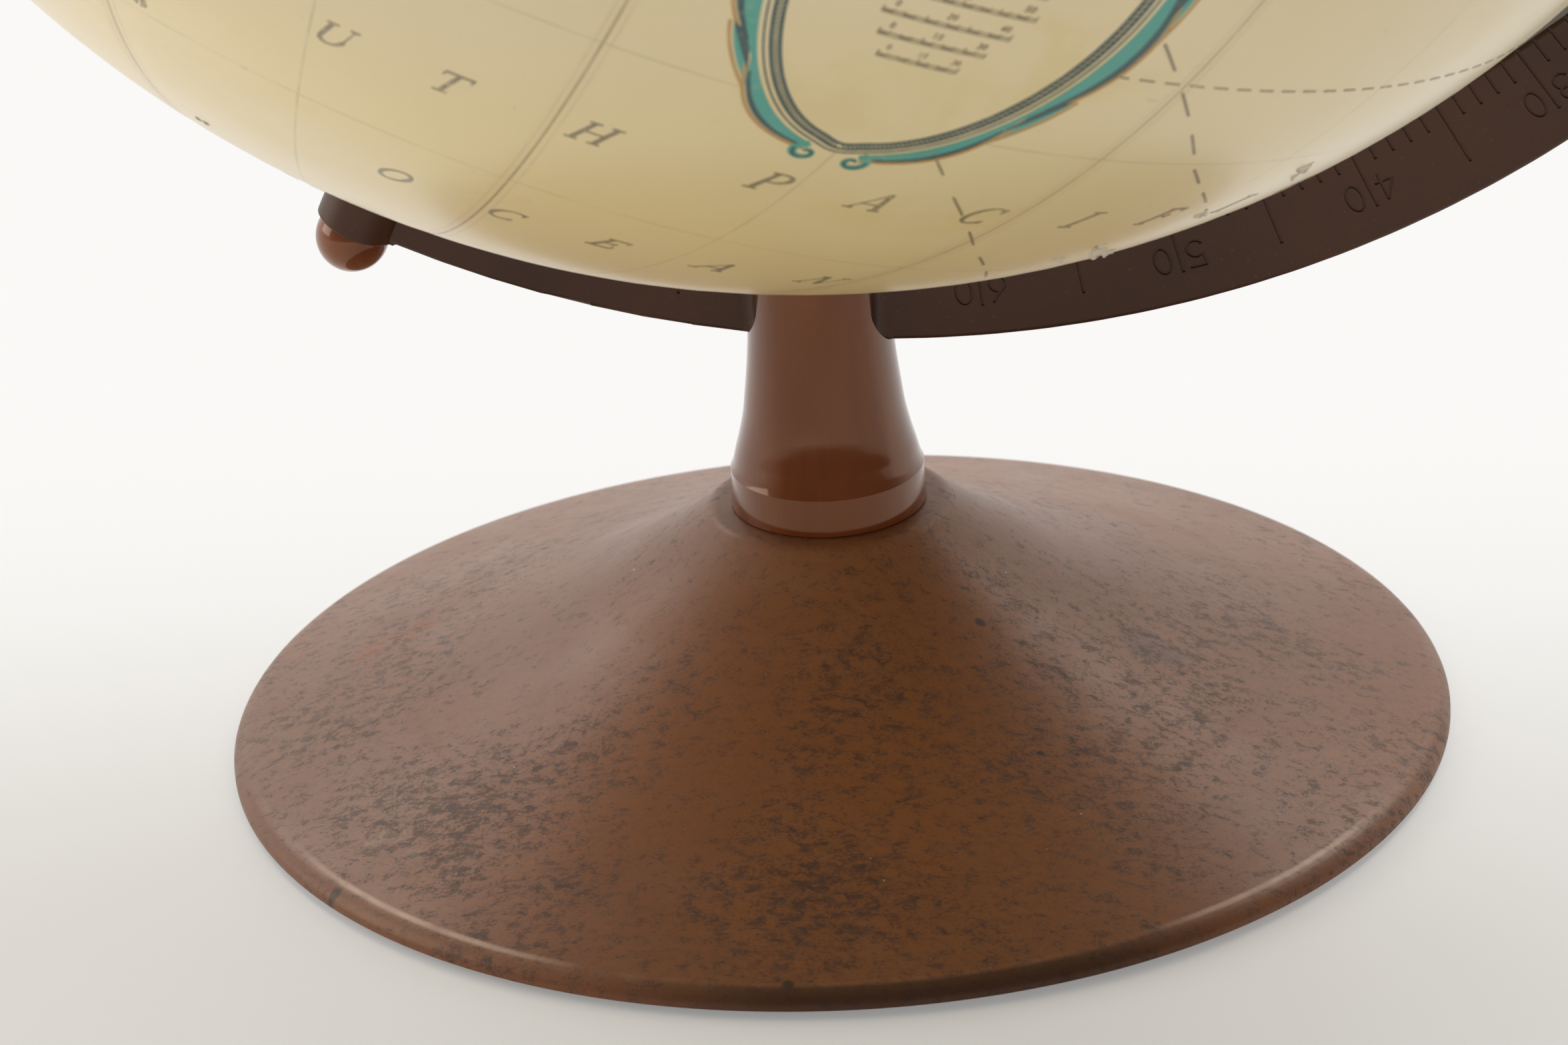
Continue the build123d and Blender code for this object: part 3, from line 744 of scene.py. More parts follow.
def nylon_material():
    sh = material_shader("aged_nylon")
    tone = sh.noise(scale=300, detail=3, rough=0.55)
    grain = sh.noise(scale=900, detail=2, rough=0.55)
    return sh.finish(color=sh.mix(tone, rgb(226, 218, 190), rgb(204, 192, 158)), rough=0.45,
                     normal=sh.bump(grain, strength=0.2, distance=0.00005))


SEA = sea_material()
LAND = land_material()
INK = ink_material("ink_grey", dark=(128, 116, 92), light=(152, 136, 106), wear=0.60)
COAST = ink_material("ink_brown", dark=(112, 82, 56), light=(140, 104, 70), wear=0.30)
TEAL = ink_material("ink_teal", dark=(64, 150, 138), light=(92, 170, 152), wear=0.18)
DEEP = ink_material("ink_deep_teal", dark=(44, 70, 72), light=(60, 92, 90), wear=0.20)
OCHRE = ink_material("ink_ochre", dark=(178, 134, 70), light=(196, 156, 92), wear=0.25)
BAND = band_material()

SLOT_MATERIALS = {
    "dish_paint": dish_material(),
    "trim_vinyl": vinyl_material(),
    "zinc_steel": metal_material("zinc_plate", (196, 194, 186), rough=0.30),
    "neck_plastic": gloss_material(
        "neck_gloss_plastic", dark=(98, 48, 22), mid=(114, 60, 30), coat=0.34),
    "insert_brass": metal_material("turned_brass", (206, 168, 96), rough=0.26),
    "arm_plastic": arm_material(),
    "axle_steel": metal_material(
        "drawn_steel", (200, 200, 198), rough=0.22, brushing=(80.0, 400.0, 80.0)),
    "cap_plastic": gloss_material(
        "cap_gloss_plastic", dark=(100, 54, 34), mid=(126, 74, 48), coat=0.35),
    "nylon": nylon_material(),
    "shell_board": board_material("chipboard", dark=(150, 126, 92), light=(176, 150, 112)),
    "tape_paper": BAND,
    "map_paper": SEA,
    "grommet_brass": metal_material("eyelet_brass", (210, 172, 98), rough=0.28),
    "tube_board": board_material("tube_card", dark=(140, 112, 78), light=(168, 138, 98)),
}
slot_of = {part["node"]: part["material_slot"] for part in frame["record"]["subparts"]}
for node_name, node_object in frame["nodes"].items():
    node_object.data.materials.clear()
    node_object.data.materials.append(SLOT_MATERIALS[slot_of[node_name]])

# ------------------------------------------------------------------ the ball's paper skin
# mesh columns as fractions of a gore's width, close together at the seams
half_columns = np.array(
    [0, .0015, .006, .016, .034, .07, .125, .1875, .25, .3125, .375, .4375, .5])
COLUMNS = np.concatenate([half_columns, 1 - half_columns[-2::-1]])
# mesh rows, degrees from the equator
ROWS = np.concatenate([[0.05, 0.35, 1.0], np.arange(2.4, 86.0, 1.8), [86.6, 87.5, 88.1]])
HALF_GAP = 0.00003 / DEG        # half the gap between gores, in degrees at the equator


def gores(name, sign, node):
    """Twelve half gores of one hemisphere; sign is 1 for the north."""
    verts, faces = [], []
    rows, cols = len(ROWS), len(COLUMNS)
    for gore in range(GORES):
        first = len(verts)

        def corner(layer, i, j):
            return first + (layer * rows + i) * cols + j

        for surface in (
            {"lift": 0.0},
            {"lift": -PAPER * 0.9, "rippled": False},
        ):
            for lat in ROWS:
                half = HALF_GAP / max(math.cos(math.radians(lat)), 0.02)
                lons = SEAM0 + 30 * gore + half + COLUMNS * (30 - 2 * half)
                verts.extend(ball_point(np.full(cols, lat * sign), lons, **surface))
        for i in range(rows - 1):
            for j in range(cols - 1):
                cell = ((i, j), (i, j + 1), (i + 1, j + 1), (i + 1, j))
                outer = tuple(corner(0, *at) for at in cell)
                inner = tuple(corner(1, *cell[n]) for n in (0, 3, 2, 1))
                faces += [outer[::sign], inner[::sign]]
        for a, b in grid_rim(rows, cols):
            side = (corner(0, *a), corner(1, *a), corner(1, *b), corner(0, *b))
            faces.append(side[::sign])
    sharp_by_angle(make(name, verts, faces, SEA, "globe", (node,)), 50)


gores("paper_gores_north", 1, "north_map_gores")
gores("paper_gores_south", -1, "south_map_gores")

# ------------------------------------------------------------------ land and lakes
# chart centre (lat, lon), then the outline as true lon,lat pairs
LANDS = {
    "africa": (5, 18, """
    -6,35.8 -2,35.1 3,36.9 10,37.3 11,34 15,32.3 18.5,30.3 20,32.4 23,32.5 25,31.6 29,31
    32.3,31.2 32.6,29.9 34,27 35.5,24 37.2,21 37.3,18.8 39.5,15.5 42,13 43.2,11.6 44.5,10.4
    48,11.2 51.2,11.8 50.8,9.5 49,6.5 47.5,4 45,2 42,-1 40,-3 39,-5.5 39.5,-8 40.5,-11 40.6,-15
    37,-17.8 35,-20 35.4,-23.5 32.8,-25.5 32.5,-28.5 30,-31.2 27,-33.7 22,-34.1 20,-34.8
    18.4,-34 18,-32 16.5,-28.7 15,-26.5 14.4,-22.8 12,-18 12.5,-15 13.7,-11 13,-8.5 12.2,-6
    11,-4 9,-1 9.6,1.5 9.5,4 7,4.4 4.5,6.3 1.2,6 -2,4.8 -7.5,4.4 -11,6.6 -13.3,9 -15,11
    -16.8,12.5 -17.4,14.7 -16.4,17 -16.2,19.5 -17,21 -15.8,24 -14,26.5 -12.5,28 -9.8,30
    -9.7,31.5 -7.5,33.6"""),
    "eurasia": (50, 85, """
    -5.5,36 -9,37 -9.5,38.7 -8.8,41.5 -9.2,43.1 -4,43.5 -1.7,43.4 -1.2,45.5 -2.5,47.3 -4.7,48.2
    -1.5,48.7 -1.8,49.7 0.2,49.6 1.6,50.8 3.5,51.4 4.7,53 7,53.5 8.6,53.9 8.1,55.6 8.2,57
    10.5,57.7 10.3,56.2 9.8,54.9 11,54 14,54 18.5,54.7 19.8,54.5 21,55.5 21,57 22.5,57.7
    24.3,57.3 23.5,58.8 27,59.5 30,59.9 28.5,60.5 25,60.2 22.5,60 21.3,61.5 21.5,63 24.5,65
    22,65.8 20,63.7 17.3,61.5 17.2,60.5 18.8,59.8 16.6,58.5 16.4,56.8 14.3,55.5 12.9,55.5
    11.3,58.5 10.5,59.3 8,58.1 5.6,58.7 5,61 8,63.3 11.5,64.8 13.5,67 16,68.5 19,69.8 25,71
    30,70.4 33,69.4 40.5,67.7 41,66.6 36,66.3 32.5,67 34.8,64.4 38,64 40.5,64.6 40,65.6
    43.5,66.2 44.2,68.3 48,67.6 54,68.5 60,68.8 65,69.2 68.5,68.5 67,71 69,73 72.8,72.8
    72.5,70.5 73.5,68.2 74,71.5 80,72.3 81,73.6 87,75 95,76 104,77.6 112,76.4 113.5,73.8 122,73
    130,71 137,71.5 141,72.6 150,71.5 160,69.7 170,69.5 178,69 185,67 190,66 187,64.5 180,64.8
    178,62.5 170,60 164,59.8 163,57 161,54.5 157,51.2 156,54 156,57 160,60.5 163.2,62.2
    156.5,61.5 154,59.5 149,59.5 142,59.2 136,54.6 140,53 141.2,51 140.5,48.5 136.5,45 133,42.8
    130.5,42.3 127.7,39.8 129.3,37 129,35.2 126.5,34.5 126.7,37.2 125,39.6 121.5,39 121.8,40.8
    118,39 119,37.3 122.5,37.3 119.3,35 121.8,31.8 121.8,29 119.5,26 117,23.6 113.5,22.2
    110,21.3 108.5,21.6 106,19.5 108.3,16 109.3,12.5 107,10.4 105,8.7 104.8,10.3 102.5,12.2
    100.9,13.4 100,13.2 99.3,10.5 100.3,8 103.4,4.5 104.2,1.4 101.2,3.2 100.3,6 98.5,8.3
    98.6,12 97.6,16.2 94.3,16 94.3,18.5 91.8,22.3 89,21.8 87,21.3 85,19.7 82.3,16.7 80.2,15.3
    80,12 79.8,10.3 78,8.2 76.3,9.8 74.8,13.5 73,17 72.8,20.5 72.3,21.5 70.3,20.9 69,22.4
    67.3,24.8 62,25.1 57.3,25.6 56.3,27.1 52,27.7 50,30.2 48,30 50,26.6 51.5,25.5 51.2,24.4
    54,24.2 56.3,26.2 57,23.9 59.8,22.4 57.8,19 55,17 52,15.7 48,14 45,12.8 43.4,12.7 42.8,16
    40.5,19.5 39,21.5 37,24.8 35,28 34.9,29.5 34.3,27.8 32.9,29.9 32.5,31.2 34.3,31.3 35.5,33.5
    35.9,36.2 33,36.1 30.5,36.6 27.3,36.8 26.2,39 27,40.4 29.2,41.1 33,42 36.5,41.3 41.5,41.5
    39.5,43.5 37,45 39,47.2 35,46.2 36,45.2 33.5,44.5 32.7,45.8 30.7,46.3 28.7,44 28,42
    28.6,41.4 26.2,40.7 24,40.8 22.8,40.4 24,38 22.8,36.5 21.3,37.5 19.4,40.5 19.5,42 16,43.5
    14,45 12.3,45.3 12.6,44 14,42.6 16,41.8 18.5,40.2 16.9,40.5 17,39 15.8,38 15.6,40 12.5,41.6
    10.3,43.7 8.8,44.4 6.5,43.2 3.2,43.2 3.2,41.9 0,39.8 -0.3,38.5 -2,36.7"""),
    "north_america": (48, -98, """
    -168,65.7 -163,67 -166,68.3 -156.5,71.3 -145,70 -135,69 -128,70.2 -122,69.8 -115,68.2
    -108,68 -98,67.8 -95.5,71.8 -92,69.5 -88,68.6 -84,69.8 -82,68 -87,65.5 -93.5,61.8
    -94.5,58.8 -92.5,57 -85,55.3 -82.3,53 -80,51.2 -79,53.5 -76.8,56.8 -78,60 -77.5,62.4
    -73.5,62.2 -70,61 -67,58.7 -64.8,60.3 -62,57.5 -60,54.7 -56,52.5 -58.8,51.2 -64.5,50.3
    -70,47.3 -65,48.8 -64.6,46.3 -61,45.6 -66,43.7 -67,44.8 -70.5,43.2 -70,41.6 -74,40.5
    -75.5,38 -76.3,35 -79,33.3 -81.3,31 -80.1,26.8 -81,25.2 -82.6,27.8 -84,30 -89.5,30.2
    -90.5,29.1 -94,29.6 -97.2,27.8 -97.6,24 -97.3,20.7 -94.8,18.3 -91,18.7 -90.4,21 -87,21.5
    -88,18 -88.5,15.8 -83.5,15 -83.6,11 -81,8.9 -77.4,8.6 -78.2,7.4 -80.3,7.4 -83,8.3
    -85.8,10.3 -87.6,13 -92,14.4 -95,16 -99.5,16.7 -105,19.8 -105.4,22.3 -109.3,26.3
    -112.8,30.5 -114.7,31.6 -111.4,25.9 -109.5,23 -112,25 -115,28.3 -116.8,31.7 -118.5,34
    -121,35.2 -122.5,37.7 -124.2,40.5 -124,46 -123,49 -127.5,50.8 -130,54.5 -134.5,58.5
    -139.5,59.7 -146,60.8 -151.5,59.3 -156.5,57 -162,55 -158,57.5 -157.5,58.7 -162,58.7
    -165.5,61.5 -161,64.4 -166.5,64.5"""),
    "south_america": (-20, -60, """
    -77.4,8.6 -75.5,10.7 -71.6,12.3 -68,11.6 -62,10.7 -60,8.5 -57,6 -51.7,4.3 -50,1 -48,-0.8
    -44.3,-2.6 -40,-2.9 -35.3,-5.2 -34.8,-7.8 -37,-11 -39,-13.5 -39,-17.5 -41,-22 -44.5,-23.1
    -48.5,-26 -48.7,-28.5 -52,-32.7 -54,-34.8 -58.3,-34 -57,-36.5 -58,-38.2 -62,-39 -65,-41
    -63.7,-42.7 -67.5,-46 -65.8,-47.8 -69,-50.5 -68.4,-52.4 -65.3,-54.8 -70,-55.2 -74.5,-52
    -75.4,-47 -73,-42 -73.5,-37 -71.5,-32 -70.3,-25 -70.2,-18.5 -76,-14 -79,-8 -81.2,-5
    -80,-2.8 -80.8,-1 -79,1.6 -77.3,4 -77.5,7"""),
    "australia": (-25, 134, """
    113.7,-22.5 114,-26 115.7,-32 115,-34.3 118,-35 123.5,-33.9 129,-31.7 131.5,-31.5 135,-34.7
    137.8,-32.8 138,-35.6 140.5,-38 144,-38.5 146.3,-39 150,-37.3 151.5,-33 153.5,-28.5
    153,-25.2 149.5,-22.2 146.3,-18.8 145.3,-15 142.5,-10.8 141.6,-15 140.8,-17.5 138,-16.7
    135.5,-14.8 136.8,-12.2 132.6,-11.4 130,-13.5 128,-15 125,-14.5 122.2,-18 119,-20
    116,-20.8"""),
    "antarctica": (-90, 0, """
    -180,-78 -170,-78.5 -160,-78 -150,-77 -140,-75 -130,-74 -120,-73.8 -110,-74.5 -100,-72.5
    -90,-72.8 -80,-73 -75,-71 -68,-68 -64,-65.5 -58,-63.3 -57.5,-64.5 -62,-68 -60,-74 -50,-77.5
    -40,-77.8 -30,-76 -20,-73 -10,-71 0,-70 10,-70 20,-70 30,-69.3 40,-69 50,-67 60,-67.2
    70,-69 77,-69.5 85,-67 95,-66.3 110,-66.3 125,-66.5 140,-66.8 150,-68.5 160,-70 170,-72
    165,-75 165,-77.5 172,-78.2"""),
    "greenland": (72, -42, """
    -45,60 -50,62 -53,66.5 -54,70.5 -60,75.5 -68,76.3 -72,78.2 -62,81.5 -40,83.3 -22,82.2
    -18,77 -20.5,73.5 -24,70 -33,68 -40,65 -43,61"""),
    "baffin": (68, -73, """
    -62,66 -64.5,63.3 -71.5,63 -73,65.5 -73,68 -80,70 -89,71.5 -85,73.5 -78,72.7 -70,70.7"""),
    "victoria": (71, -111, "-117,69 -105,68.8 -102,70 -105,73 -117,73 -119,71.3"),
    "ellesmere": (80, -80, "-90,76.5 -78,76.8 -75,79 -62,82.5 -70,83 -90,82 -92,80"),
    "new_guinea": (-5, 141, """
    131,-1 134.2,-0.9 135,-3.3 138,-1.7 144.5,-3.9 147.8,-6.5 150.5,-10.5 146,-8.8 143,-9.2
    138.3,-8.2 138,-5.5 133,-4 132.5,-2.8"""),
    "borneo": (1, 114, """
    109,1.5 111.5,2.5 114.5,4.8 117,7 119,5.2 117.8,1 116.3,-3.8 113,-3.2 110.2,-2.8 109,0"""),
    "sumatra": (0, 101, "95.4,5.6 98,4.3 103.5,-0.5 106,-3 105.8,-5.8 102.3,-3.9 98.8,1.6"),
    "java": (-7, 110, """
    105.3,-6.7 108.5,-6.7 112.6,-6.9 114.4,-7.8 114.3,-8.7 108.5,-7.8 105.5,-7"""),
    "sulawesi": (-2, 121, """
    119.5,-5.5 119,-3 120,0.8 125,1.6 121,0.4 121.3,-1 123.2,-0.9 121.7,-2 122.8,-5 120.8,-3.2
    120.3,-5.5"""),
    "luzon": (16, 122, "120,16 120.7,18.5 122.2,18.4 121.6,16 124,12.8 120.8,13.9"),
    "mindanao": (7, 124, "122,7 123.5,8.6 125.5,9.7 126.5,7.5 125.5,5.8 124,7"),
    "honshu": (36, 137, """
    131,34 133,35.5 136.8,37.3 140,40.8 141.8,40 141,37 140.5,35.5 137,34.6 133.5,33.6"""),
    "kyushu": (32, 131, "130,33.5 131.8,33.2 131.3,31.3 130.2,31.5"),
    "hokkaido": (43, 142, "140,42 141.7,45.3 145.3,43.4 143,42"),
    "sakhalin": (50, 143, "142,46.2 143.5,49.5 143.2,53 142,54 141.9,50"),
    "britain": (54, -2, """
    -5.5,50.1 -3,50.7 1.3,51.2 1.6,52.7 -0.2,53.8 -1.8,55.7 -2,57.7 -4,57.7 -3.2,58.6 -5.3,58.4
    -5.8,56.3 -4.8,54.8 -3,53.9 -4.5,53 -5.2,51.8 -3,51.4"""),
    "ireland": (53, -8, "-6.2,52.2 -6,54 -7.3,55.2 -10,54.2 -9.5,51.7"),
    "iceland": (65, -19, "-22.5,64 -18.5,63.4 -14.5,64.5 -15,66.2 -20,66 -23.8,66.2 -24,65"),
    "madagascar": (-19, 47, "49.3,-12.1 50.3,-15.8 47.2,-25 45.2,-25.5 43.5,-22 44.3,-17"),
    "new_zealand_n": (-38, 176, """
    172.8,-34.6 175.5,-36.8 178.4,-37.8 176.8,-40.2 175,-41.5 173.8,-39.3 174.7,-37.5"""),
    "new_zealand_s": (-44, 170, """
    172.7,-40.6 174.2,-41.7 172.8,-43.8 170.5,-46 168.5,-46.6 166.6,-45.9 170.8,-42.8"""),
    "tasmania": (-42, 146, "144.8,-41 148.2,-41 147.9,-43.2 146,-43.5"),
    "ceylon": (7, 81, "80,9.5 81.8,7.3 80.5,6 79.8,8"),
    "cuba": (21, -79, "-84.8,21.9 -82,23.1 -77,21.7 -74.3,20.2 -77.5,19.9 -79,21.6"),
    "hispaniola": (19, -71, "-74.4,18.5 -72.8,19.9 -69.8,19.7 -68.5,18.3 -71.5,17.8"),
    "taiwan": (23, 121, "120.2,23 121.6,25.2 121,22"),
    "hainan": (19, 110, "108.8,19.2 110.8,20 110,18.4"),
    "newfoundland": (49, -56, "-59.3,47.8 -55.5,46.9 -53,47 -53.5,49 -56,51.5 -58,49.5"),
    "novaya_zemlya": (74, 58, "52,71 55.5,70.8 57,73 68,76.8 60,76.3 53,73"),
    "svalbard": (78, 18, "11,79 16,76.8 21,78.5 26,80 15,80"),
    "hawaii": (20, -156, "-156,20.2 -155,19.7 -155.6,19"),
    "fiji": (-18, 178, "177.4,-17.8 178.6,-17.6 178.2,-18.3"),
    "caledonia": (-21, 165, "164.1,-20.3 166.9,-22.2 166.4,-22.3 164.6,-20.9"),
    "solomons": (-9, 160, "158,-7.6 161.5,-9.6 161.2,-10.2 157.4,-8.2"),
}
LAKES = {
    "caspian": (42, 51, "47,45 51,46.8 53,45 51,43.5 53,41 54,37 50,37.3 49,40.5 47.5,43"),
    "victoria": (-1, 33, "31.8,0.3 34.2,0.2 33.5,-2.4 31.9,-2.4"),
    "superior": (48, -87, "-92,46.8 -88,48.6 -84.8,46.8 -88,47"),
    "michigan": (44, -87, "-87.8,42 -86.3,43 -85,45.6 -87.5,45"),
    "huron": (45, -82, "-84.2,46 -81,45.6 -81.8,43.2 -83.5,44"),
    "baikal": (54, 107, "104,51.7 106,52 109.5,55.5 108.6,55.4 105.5,52.6"),
}


def roughen(points, rng, rough, smallest):
    """Midpoint displacement of a closed outline until no side is longer than smallest."""
    points = [np.array(p, float) for p in points]
    while True:
        out, grew = [], False
        for i, a in enumerate(points):
            b = points[(i + 1) % len(points)]
            out.append(a)
            d = b - a
            if float(np.hypot(*d)) > smallest:
                grew = True
                out.append((a + b) / 2 + np.array([-d[1], d[0]]) * rng.uniform(-rough, rough))
        points = out
        if not grew:
            return np.array(points)


def ball_grid():
    """Points (lat, lon) that make the areas follow the ball: an even grid, denser at seams."""
    points = []
    for lat in np.arange(-88, 89, 2.2):
        count = max(3, int(round(360 * math.cos(math.radians(lat)) / 2.2)))
        points += [(lat, -180 + 360 * (q + 0.5) / count) for q in range(count)]
    for gore in range(GORES):
        for lat in np.arange(-84, 84.1, 1.6):
            for off in (-0.0026, -0.0010, 0.0, 0.0010, 0.0026):
                lon = SEAM0 + 30 * gore + off / DEG / math.cos(math.radians(lat))
                points.append((lat, lon))
    return np.array(points)


GRID = ball_grid()


def inside(polygon, points):
    x, y = points[:, 0], points[:, 1]
    result = np.zeros(len(points), bool)
    for (x0, y0), (x1, y1) in zip(polygon, np.roll(polygon, -1, axis=0)):
        crosses = (y0 > y) != (y1 > y)
        result ^= crosses & (x < (x1 - x0) * (y - y0) / ((y1 - y0) or 1e-12) + x0)
    return result


land, coast, lakes = Layer(), Layer(), Layer()


def print_area(layer, entry, seed, rough, smallest, lift, line):
    """One land or lake with its coastline; line is the coastline's width in metres."""
    lat0, lon0, text = entry
    outline = [tuple(map(float, pair.split(","))) for pair in text.split()]
    if smallest is None:
        smallest = 1.2 if len(outline) > 20 else 0.6
    to_chart, to_ball = chart(lat0, lon0 + REAL)
    raw = to_chart([p[1] for p in outline], [p[0] + REAL for p in outline])
    shape = anticlockwise(roughen(raw, random.Random(seed), rough, smallest))
    grid = to_chart(GRID[:, 0], GRID[:, 1])
    points, tris = triangulate([shape], grid[inside(shape, grid)])
    layer.chips(points, tris, to_ball, lift)
    coast.strip(ribbon(shape, line / DEG, closed=True), to_ball, lift + 0.00003)


for index, entry in enumerate(LANDS.values()):
    print_area(land, entry, seed=100 + index, rough=0.14, smallest=None, lift=0.00004,
               line=0.00042)
for index, entry in enumerate(LAKES.values()):
    print_area(lakes, entry, seed=900 + index, rough=0.12, smallest=0.7, lift=0.00007,
               line=0.00036)

land.build("print_land", LAND)
lakes.build("print_lakes", SEA)
coast.build("print_coastlines", COAST)


# ------------------------------------------------------------------ engraved capitals and figures
# Drawn in a box one unit high from the foot of the line.
STEM, HAIR, SERIF, ARM, FIGURE = 0.125, 0.045, 0.05, 0.07, 0.13     # stroke widths
HEAD, FOOT = 0.975, 0.025       # heights of the serifs


def arc(cx, cy, rx, ry, start, end, n):
    t = np.radians(np.linspace(start, end, n))
    return np.stack([cx + rx * np.cos(t), cy + ry * np.sin(t)], 1)


def bar(x0, y0, x1, y1, width):
    return ribbon([(x0, y0), (x1, y1)], width)


def stroke(cx, cy, rx, ry, start, end, n, width=FIGURE):
    return ribbon(arc(cx, cy, rx, ry, start, end, n), width)


def bowl(cx, cy, rx, ry, start, end, thick_at=0.0, n=22):
    """Curved stroke, thick at one side and thin across it."""
    t = np.linspace(start, end, n)
    width = HAIR + (STEM - HAIR) * np.abs(np.cos(np.radians(t - thick_at))) ** 1.6
    return stroke(cx, cy, rx, ry, start, end, n, width)


def serif(x, y, width=0.30):
    return bar(x - width / 2, y, x + width / 2, y, SERIF)


EF = (bar(.2, 0, .2, 1, STEM) + bar(.06, .965, .68, .965, ARM) + bar(.2, .52, .52, .52, HAIR)
      + bar(.66, .80, .66, .98, SERIF) + bar(.52, .42, .52, .62, SERIF))
PR = (bar(.2, 0, .2, 1, STEM) + bowl(.36, .73, .30, .245, -90, 90)
      + bar(.2, .975, .38, .975, SERIF) + bar(.2, .485, .38, .485, SERIF)
      + serif(.2, FOOT, .34) + serif(.14, HEAD, .2))
S_CURVE = np.vstack([arc(.36, .73, .24, .245, 30, 262, 20), arc(.36, .26, .26, .235, 80, -150, 20)])
S_WIDTH = np.concatenate([np.linspace(HAIR, STEM, 20), np.linspace(STEM, HAIR, 20)])
# character: (strokes, width of its box)
GLYPHS = {
    "I": (bar(.25, 0, .25, 1, STEM) + serif(.25, FOOT, .4) + serif(.25, HEAD, .4), .5),
    "H": (bar(.18, 0, .18, 1, STEM) + bar(.72, 0, .72, 1, STEM) + bar(.18, .5, .72, .5, HAIR)
          + serif(.18, FOOT) + serif(.18, HEAD) + serif(.72, FOOT) + serif(.72, HEAD), .9),
    "T": (bar(.4, 0, .4, 1, STEM) + bar(.04, .965, .76, .965, ARM) + serif(.4, FOOT, .36)
          + bar(.06, .80, .06, .98, SERIF) + bar(.74, .80, .74, .98, SERIF), .8),
    "E": (EF + bar(.06, .035, .70, .035, ARM) + bar(.70, .02, .70, .22, SERIF), .74),
    "F": (EF + serif(.2, FOOT, .34), .74),
    "P": (PR, .72),
    "R": (PR + bar(.42, .48, .70, .03, STEM * .9) + serif(.72, FOOT, .18), .82),
    "U": (bar(.18, .3, .18, 1, STEM) + bar(.72, .3, .72, 1, HAIR)
          + bowl(.45, .32, .27, .29, 180, 360, 180) + serif(.18, HEAD) + serif(.72, HEAD, .24), .9),
    "A": (bar(.10, .02, .44, 1, HAIR) + bar(.44, .98, .80, .02, STEM)
          + bar(.22, .34, .68, .34, HAIR) + serif(.10, FOOT, .26) + serif(.80, FOOT, .30), .9),
    "N": (bar(.16, 0, .16, 1, HAIR) + bar(.18, .98, .74, .02, STEM) + bar(.76, 0, .76, 1, HAIR)
          + serif(.16, FOOT, .26) + serif(.12, HEAD, .24) + serif(.76, HEAD, .26), .92),
    "O": (bowl(.44, .5, .36, .47, 0, 360, n=40), .88),
    "C": (bowl(.46, .5, .37, .47, 48, 312, n=34) + bar(.73, .72, .73, .96, SERIF)
          + bar(.73, .06, .73, .22, SERIF), .84),
    "S": (ribbon(S_CURVE, S_WIDTH) + bar(.60, .72, .60, .96, SERIF)
          + bar(.10, .05, .10, .28, SERIF), .72),
    "L": (bar(.2, 0, .2, 1, STEM) + bar(.06, .035, .66, .035, ARM)
          + bar(.66, .02, .66, .24, SERIF) + serif(.2, HEAD, .34), .7),
    "D": (bar(.2, 0, .2, 1, STEM) + bowl(.30, .5, .46, .475, -90, 90)
          + bar(.08, .975, .32, .975, SERIF) + bar(.08, .025, .32, .025, SERIF), .82),
    "0": (stroke(.3, .5, .22, .44, 0, 360, 26), .6),
    "1": (bar(.3, .03, .3, .97, FIGURE) + bar(.3, .95, .12, .80, .08), .6),
    "2": (ribbon(np.vstack([arc(.3, .72, .21, .23, 160, -30, 14), [(.10, .05)]]), FIGURE)
          + bar(.08, .06, .54, .06, FIGURE), .6),
    "3": (stroke(.28, .73, .20, .21, 150, -90, 14) + stroke(.28, .28, .22, .235, 90, -150, 14), .6),
    "4": (bar(.42, .03, .42, .97, FIGURE) + bar(.42, .95, .06, .32, .09)
          + bar(.04, .32, .56, .32, FIGURE), .6),
    "5": (bar(.14, .93, .52, .93, FIGURE) + bar(.15, .93, .13, .52, .1)
          + stroke(.28, .31, .23, .25, 130, -150, 16), .6),
    "6": (stroke(.3, .28, .21, .235, 0, 360, 20) + stroke(.46, .38, .38, .55, 175, 100, 10, .1), .6),
    "7": (bar(.08, .93, .54, .93, FIGURE) + bar(.52, .92, .24, .03, .11), .6),
    "8": (stroke(.3, .73, .185, .2, 0, 360, 18) + stroke(.3, .27, .215, .225, 0, 360, 20), .6),
    "9": (stroke(.3, .70, .21, .235, 0, 360, 20) + stroke(.14, .60, .38, .55, -5, -80, 10, .1), .6),
}


def put_letter(layer, char, lat, lon, height, slant=0.34):
    """A character of this height in metres, centred at a local point, read eastwards."""
    strokes, width = GLYPHS[char]
    k = height / DEG
    polygons = []
    for quad in strokes:
        p = np.array(quad, float)
        x = (p[:, 0] - width / 2 + slant * (p[:, 1] - .5)) * k
        polygons.append(np.stack([x, (p[:, 1] - .5) * k], 1))
    points, tris = triangulate([p for p in polygons if abs(doubled_area(p)) > 1e-9])
    layer.chips(points, tris, chart(lat, lon)[1], lift=0.00006)


names, figures = Layer(), Layer()
# text, letter height, local latitudes, local longitudes
PLACED_NAMES = (
    ("SOUTH", 0.0054, (-37.7, -37.65, -37.6, -37.5, -37.3), (-105.7, -98.4, -91.2, -84.1, -75.3)),
    ("PACIFIC", 0.0054, (-37.1, -36.9, -36.7, -36.4, -36.2, -35.8, -35.5),
     (-64.35, -57.5, -50.2, -42.6, -35.8, -28.9, -22.0)),
    ("OCEAN", 0.0050, (-50.3, -50.1, -49.8, -49.5, -49.1), (-84.7, -76.0, -68.0, -59.2, -50.5)),
)
for text, height, lats, lons in PLACED_NAMES:
    for char, lat, lon in zip(text, lats, lons):
        put_letter(names, char, lat, lon, height)

